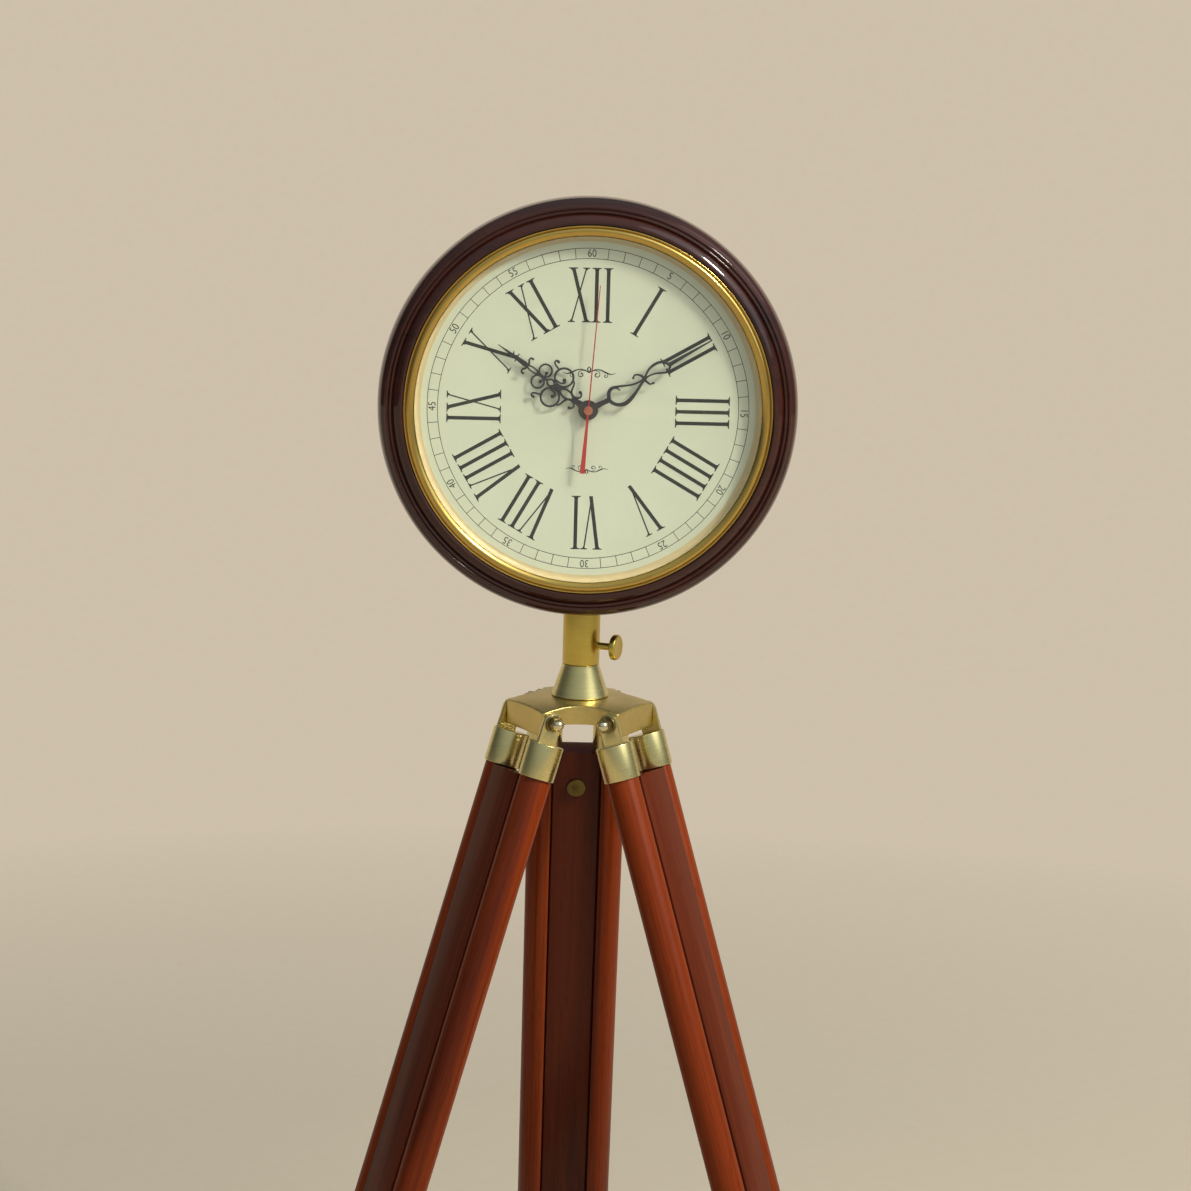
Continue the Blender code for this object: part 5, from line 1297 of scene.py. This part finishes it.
def make_movement():
    """The moulded housing: rounded corners, a raised lid, a battery bay and a round seat for the wheel."""
    case, battery, wheel = head("movement_case"), head("battery"), head("set_wheel")
    low, high = case.low.z, case.high.z
    half_x, half_y = case.high.x, case.high.y
    front = max(p.z for p in case.points if abs(p.x) > 10 * MM)
    body = plate(rounded_rectangle(half_x, half_y, 3 * MM), front - low, low)
    lid = plate(rounded_rectangle(half_x - 2.5 * MM, 9 * MM, 2 * MM), MM, low)
    bush_radius = max(math.hypot(p.x, p.y) for p in case.points if p.z > front + MM)
    bush = round_bar(bush_radius, front - MM, high, SMALL_STEPS, PLAY)
    bay = rounded_rectangle(battery.high.x + PLAY, battery.half.y + PLAY, 0.6 * MM)
    bay = plate(bay, battery.high.z - low + 10.3 * MM, low - 10 * MM)
    wheel_hole = round_bar(1.8 * MM, low - MM, wheel.high.z + PLAY, COARSE_STEPS)
    cuts = [moved(bay, shift(0, battery.middle.y)), moved(wheel_hole, shift(wheel.middle.x, wheel.middle.y))]
    for y in (24.0, 21.8, 19.6):
        groove = plate(rounded_rectangle(half_x - 4 * MM, 0.4 * MM, 0.3 * MM), MM, low - 0.5 * MM)
        cuts.append(moved(groove, shift(0, y * MM)))
    cuts.append(round_bar(3.0 * MM, high - 7 * MM, high + MM))
    housing = worked(body, softened(0.8 * MM), joined(bush), joined(lid), *map(removed, cuts))
    case.dress("quartz_housing", housing, MOULDED_BLACK)


def make_battery():
    battery = head("battery")
    radius, half = battery.half.y, battery.half.x
    edge, tip, ease = 0.8 * MM, 2.5 * MM, 0.4 * MM
    outline = [(0, half), *arc((tip - ease, half - ease), ease, 90, 0, 3), (tip, half - 1.2 * MM)]
    outline += [(tip + 1.4 * MM, half - 1.2 * MM), *eased_side(radius, half - MM, -half, edge)]
    outline += [(radius - 1.6 * MM, -half), (radius - 1.8 * MM, PLAY - half), (0, PLAY - half)]
    place = DIAL_FRAME @ shift(*battery.middle) @ turn(90, "Y")
    battery.dress("cell", lathe(outline, SMALL_STEPS), CELL, place)


def make_hand_nut():
    nut = head("hand_nut")
    corner = max(math.hypot(p.x, p.y) for p in nut.points)
    nut.dress("dial_nut", hex_nut(nut.low.z, nut.high.z, corner, corner - 2.8 * MM), TUBE_BRASS)


def make_set_wheel():
    """The white finger wheel: rounded teeth, a dished face and a round arbor."""
    part = head("set_wheel")
    low, radius, middle = part.low.z, part.half.x, part.middle
    rim = max(p.z for p in part.points if math.hypot(p.x - middle.x, p.y - middle.y) > radius - MM)
    teeth, depth = 18, 0.35 * MM
    edge = []
    for t in [2 * math.pi * i / (teeth * 6) for i in range(teeth * 6)]:
        reach = radius - depth + depth * math.cos(teeth * t)
        edge.append((reach * math.cos(t), reach * math.sin(t)))
    dish = round_bar(radius * 0.6, low - MM, low + 0.8 * MM)
    pin = round_bar(1.5 * MM, rim - MM, part.high.z, COARSE_STEPS)
    wheel = worked(plate(edge, rim - low, low), softened(0.25 * MM, 1), removed(dish), joined(pin))
    part.dress("finger_wheel", wheel, MOULDED_WHITE, DIAL_FRAME @ shift(middle.x, middle.y))


make_case()
make_bezel()
make_surround()
make_glass()
make_dial()
make_hour_hand()
make_minute_hand()
make_second_hand()
make_sleeve()
make_cone()
make_post()
make_centre_nut()
thumb_screw("neck_screw_knob", "neck_thumb_screw", "neck_screw")
make_neck_bolt()
make_casting()
for leg in LEGS:
    make_leg(leg)
make_back_board()
for screw_number in BACK_SCREWS:
    make_back_screw(screw_number)
make_movement()
make_battery()
make_hand_nut()
make_set_wheel()


# Stage, lights and camera


def paper():
    """The stage's pale paper. Light that bounces off it is dimmer, so the inner faces stay dark, and
    far from the clock it is seen as plain background."""
    make = material("pale_paper")
    fine = make.noise(60.0, detail=3.0, per_piece=False)
    seen = make.mixed(fine, screen(203, 189, 167), screen(208, 195, 174))
    bounced = make.mixed(fine, screen(172, 160, 142), screen(178, 167, 149))
    diffuse = make.add("LightPath").outputs["Is Diffuse Ray"]
    make.set(Base_Color=make.mixed(diffuse, seen, bounced), Roughness=0.9)
    where = make.add("TexCoord").outputs["Object"]
    away = make.add("VectorMath", where, settings={"operation": "LENGTH"}).outputs["Value"]
    far = make.add("MapRange", away, From_Min=FADE[0], From_Max=FADE[1]).outputs["Result"]
    share = make.math("MULTIPLY", far, make.math("SUBTRACT", 1.0, diffuse))
    make.blend(share, make.add("Emission", seen))
    return make.owner


def make_stage():
    """A pale floor that curves up into a backdrop, far enough back for views from behind."""
    start = STAGE_BACK - STAGE_BEND
    profile = [(STAGE_FRONT, 0.0)]
    for t in [math.pi / 2 * step / STAGE_STEPS for step in range(STAGE_STEPS + 1)]:
        profile.append((start + STAGE_BEND * math.sin(t), STAGE_BEND * (1 - math.cos(t))))
    profile.append((STAGE_BACK, STAGE_TOP))
    form = bmesh.new()
    rows = [[form.verts.new((x, y, z)) for x in (-STAGE_HALF, STAGE_HALF)] for y, z in profile]
    for near, far in zip(rows, rows[1:]):
        form.faces.new((near[0], near[1], far[1], far[0]))
    mesh = to_mesh(form)
    mesh.materials.append(paper())
    linked("backdrop", mesh)


def area_light(name, toward, away, size, power, colour):
    """A round soft light that faces the clock."""
    light = bpy.data.lights.new(name, "AREA")
    light.shape = "DISK"
    light.size = size
    light.energy = power
    light.color = colour
    direction = Vector(toward).normalized()
    item = linked(name, light)
    item.location = DIAL_HUB - Vector((0, 0, LIGHT_TARGET_DROP)) + direction * away
    item.rotation_euler = (-direction).to_track_quat("-Z", "Y").to_euler()


def make_sky():
    """Soft light from all round, brightest above and in front. The camera sees plain beige instead."""
    make = Maker(bpy.data.worlds.new("studio"))
    where = make.add("TexCoord").outputs["Generated"]
    facing = make.add("VectorMath", where, SKY_DIRECTION, settings={"operation": "DOT_PRODUCT"})
    make.set(Color=SKY_COLOUR, Strength=make.span(facing.outputs["Value"], *SKY_LEVELS))
    plain = make.add("Background", screen(205, 192, 170))
    make.blend(make.add("LightPath").outputs["Is Camera Ray"], plain)
    bpy.context.scene.world = make.owner


def make_camera():
    data = bpy.data.cameras.new("camera")
    data.sensor_width = SENSOR_WIDTH
    data.lens = CAMERA_FOCAL_PIXELS / IMAGE_PIXELS * SENSOR_WIDTH
    item = linked("camera", data)
    place = shift(POLE.x + CAMERA_ACROSS, POLE.y - CAMERA_AHEAD, HINGE_Z + CAMERA_UP)
    item.matrix_world = place @ turn(-CAMERA_YAW) @ turn(90 + CAMERA_PITCH, "X") @ turn(CAMERA_ROLL)
    bpy.context.scene.camera = item


make_stage()
for light in LIGHTS:
    area_light(*light)
make_sky()
make_camera()
bpy.context.scene.view_settings.view_transform = "Standard"

bpy.context.view_layer.update()
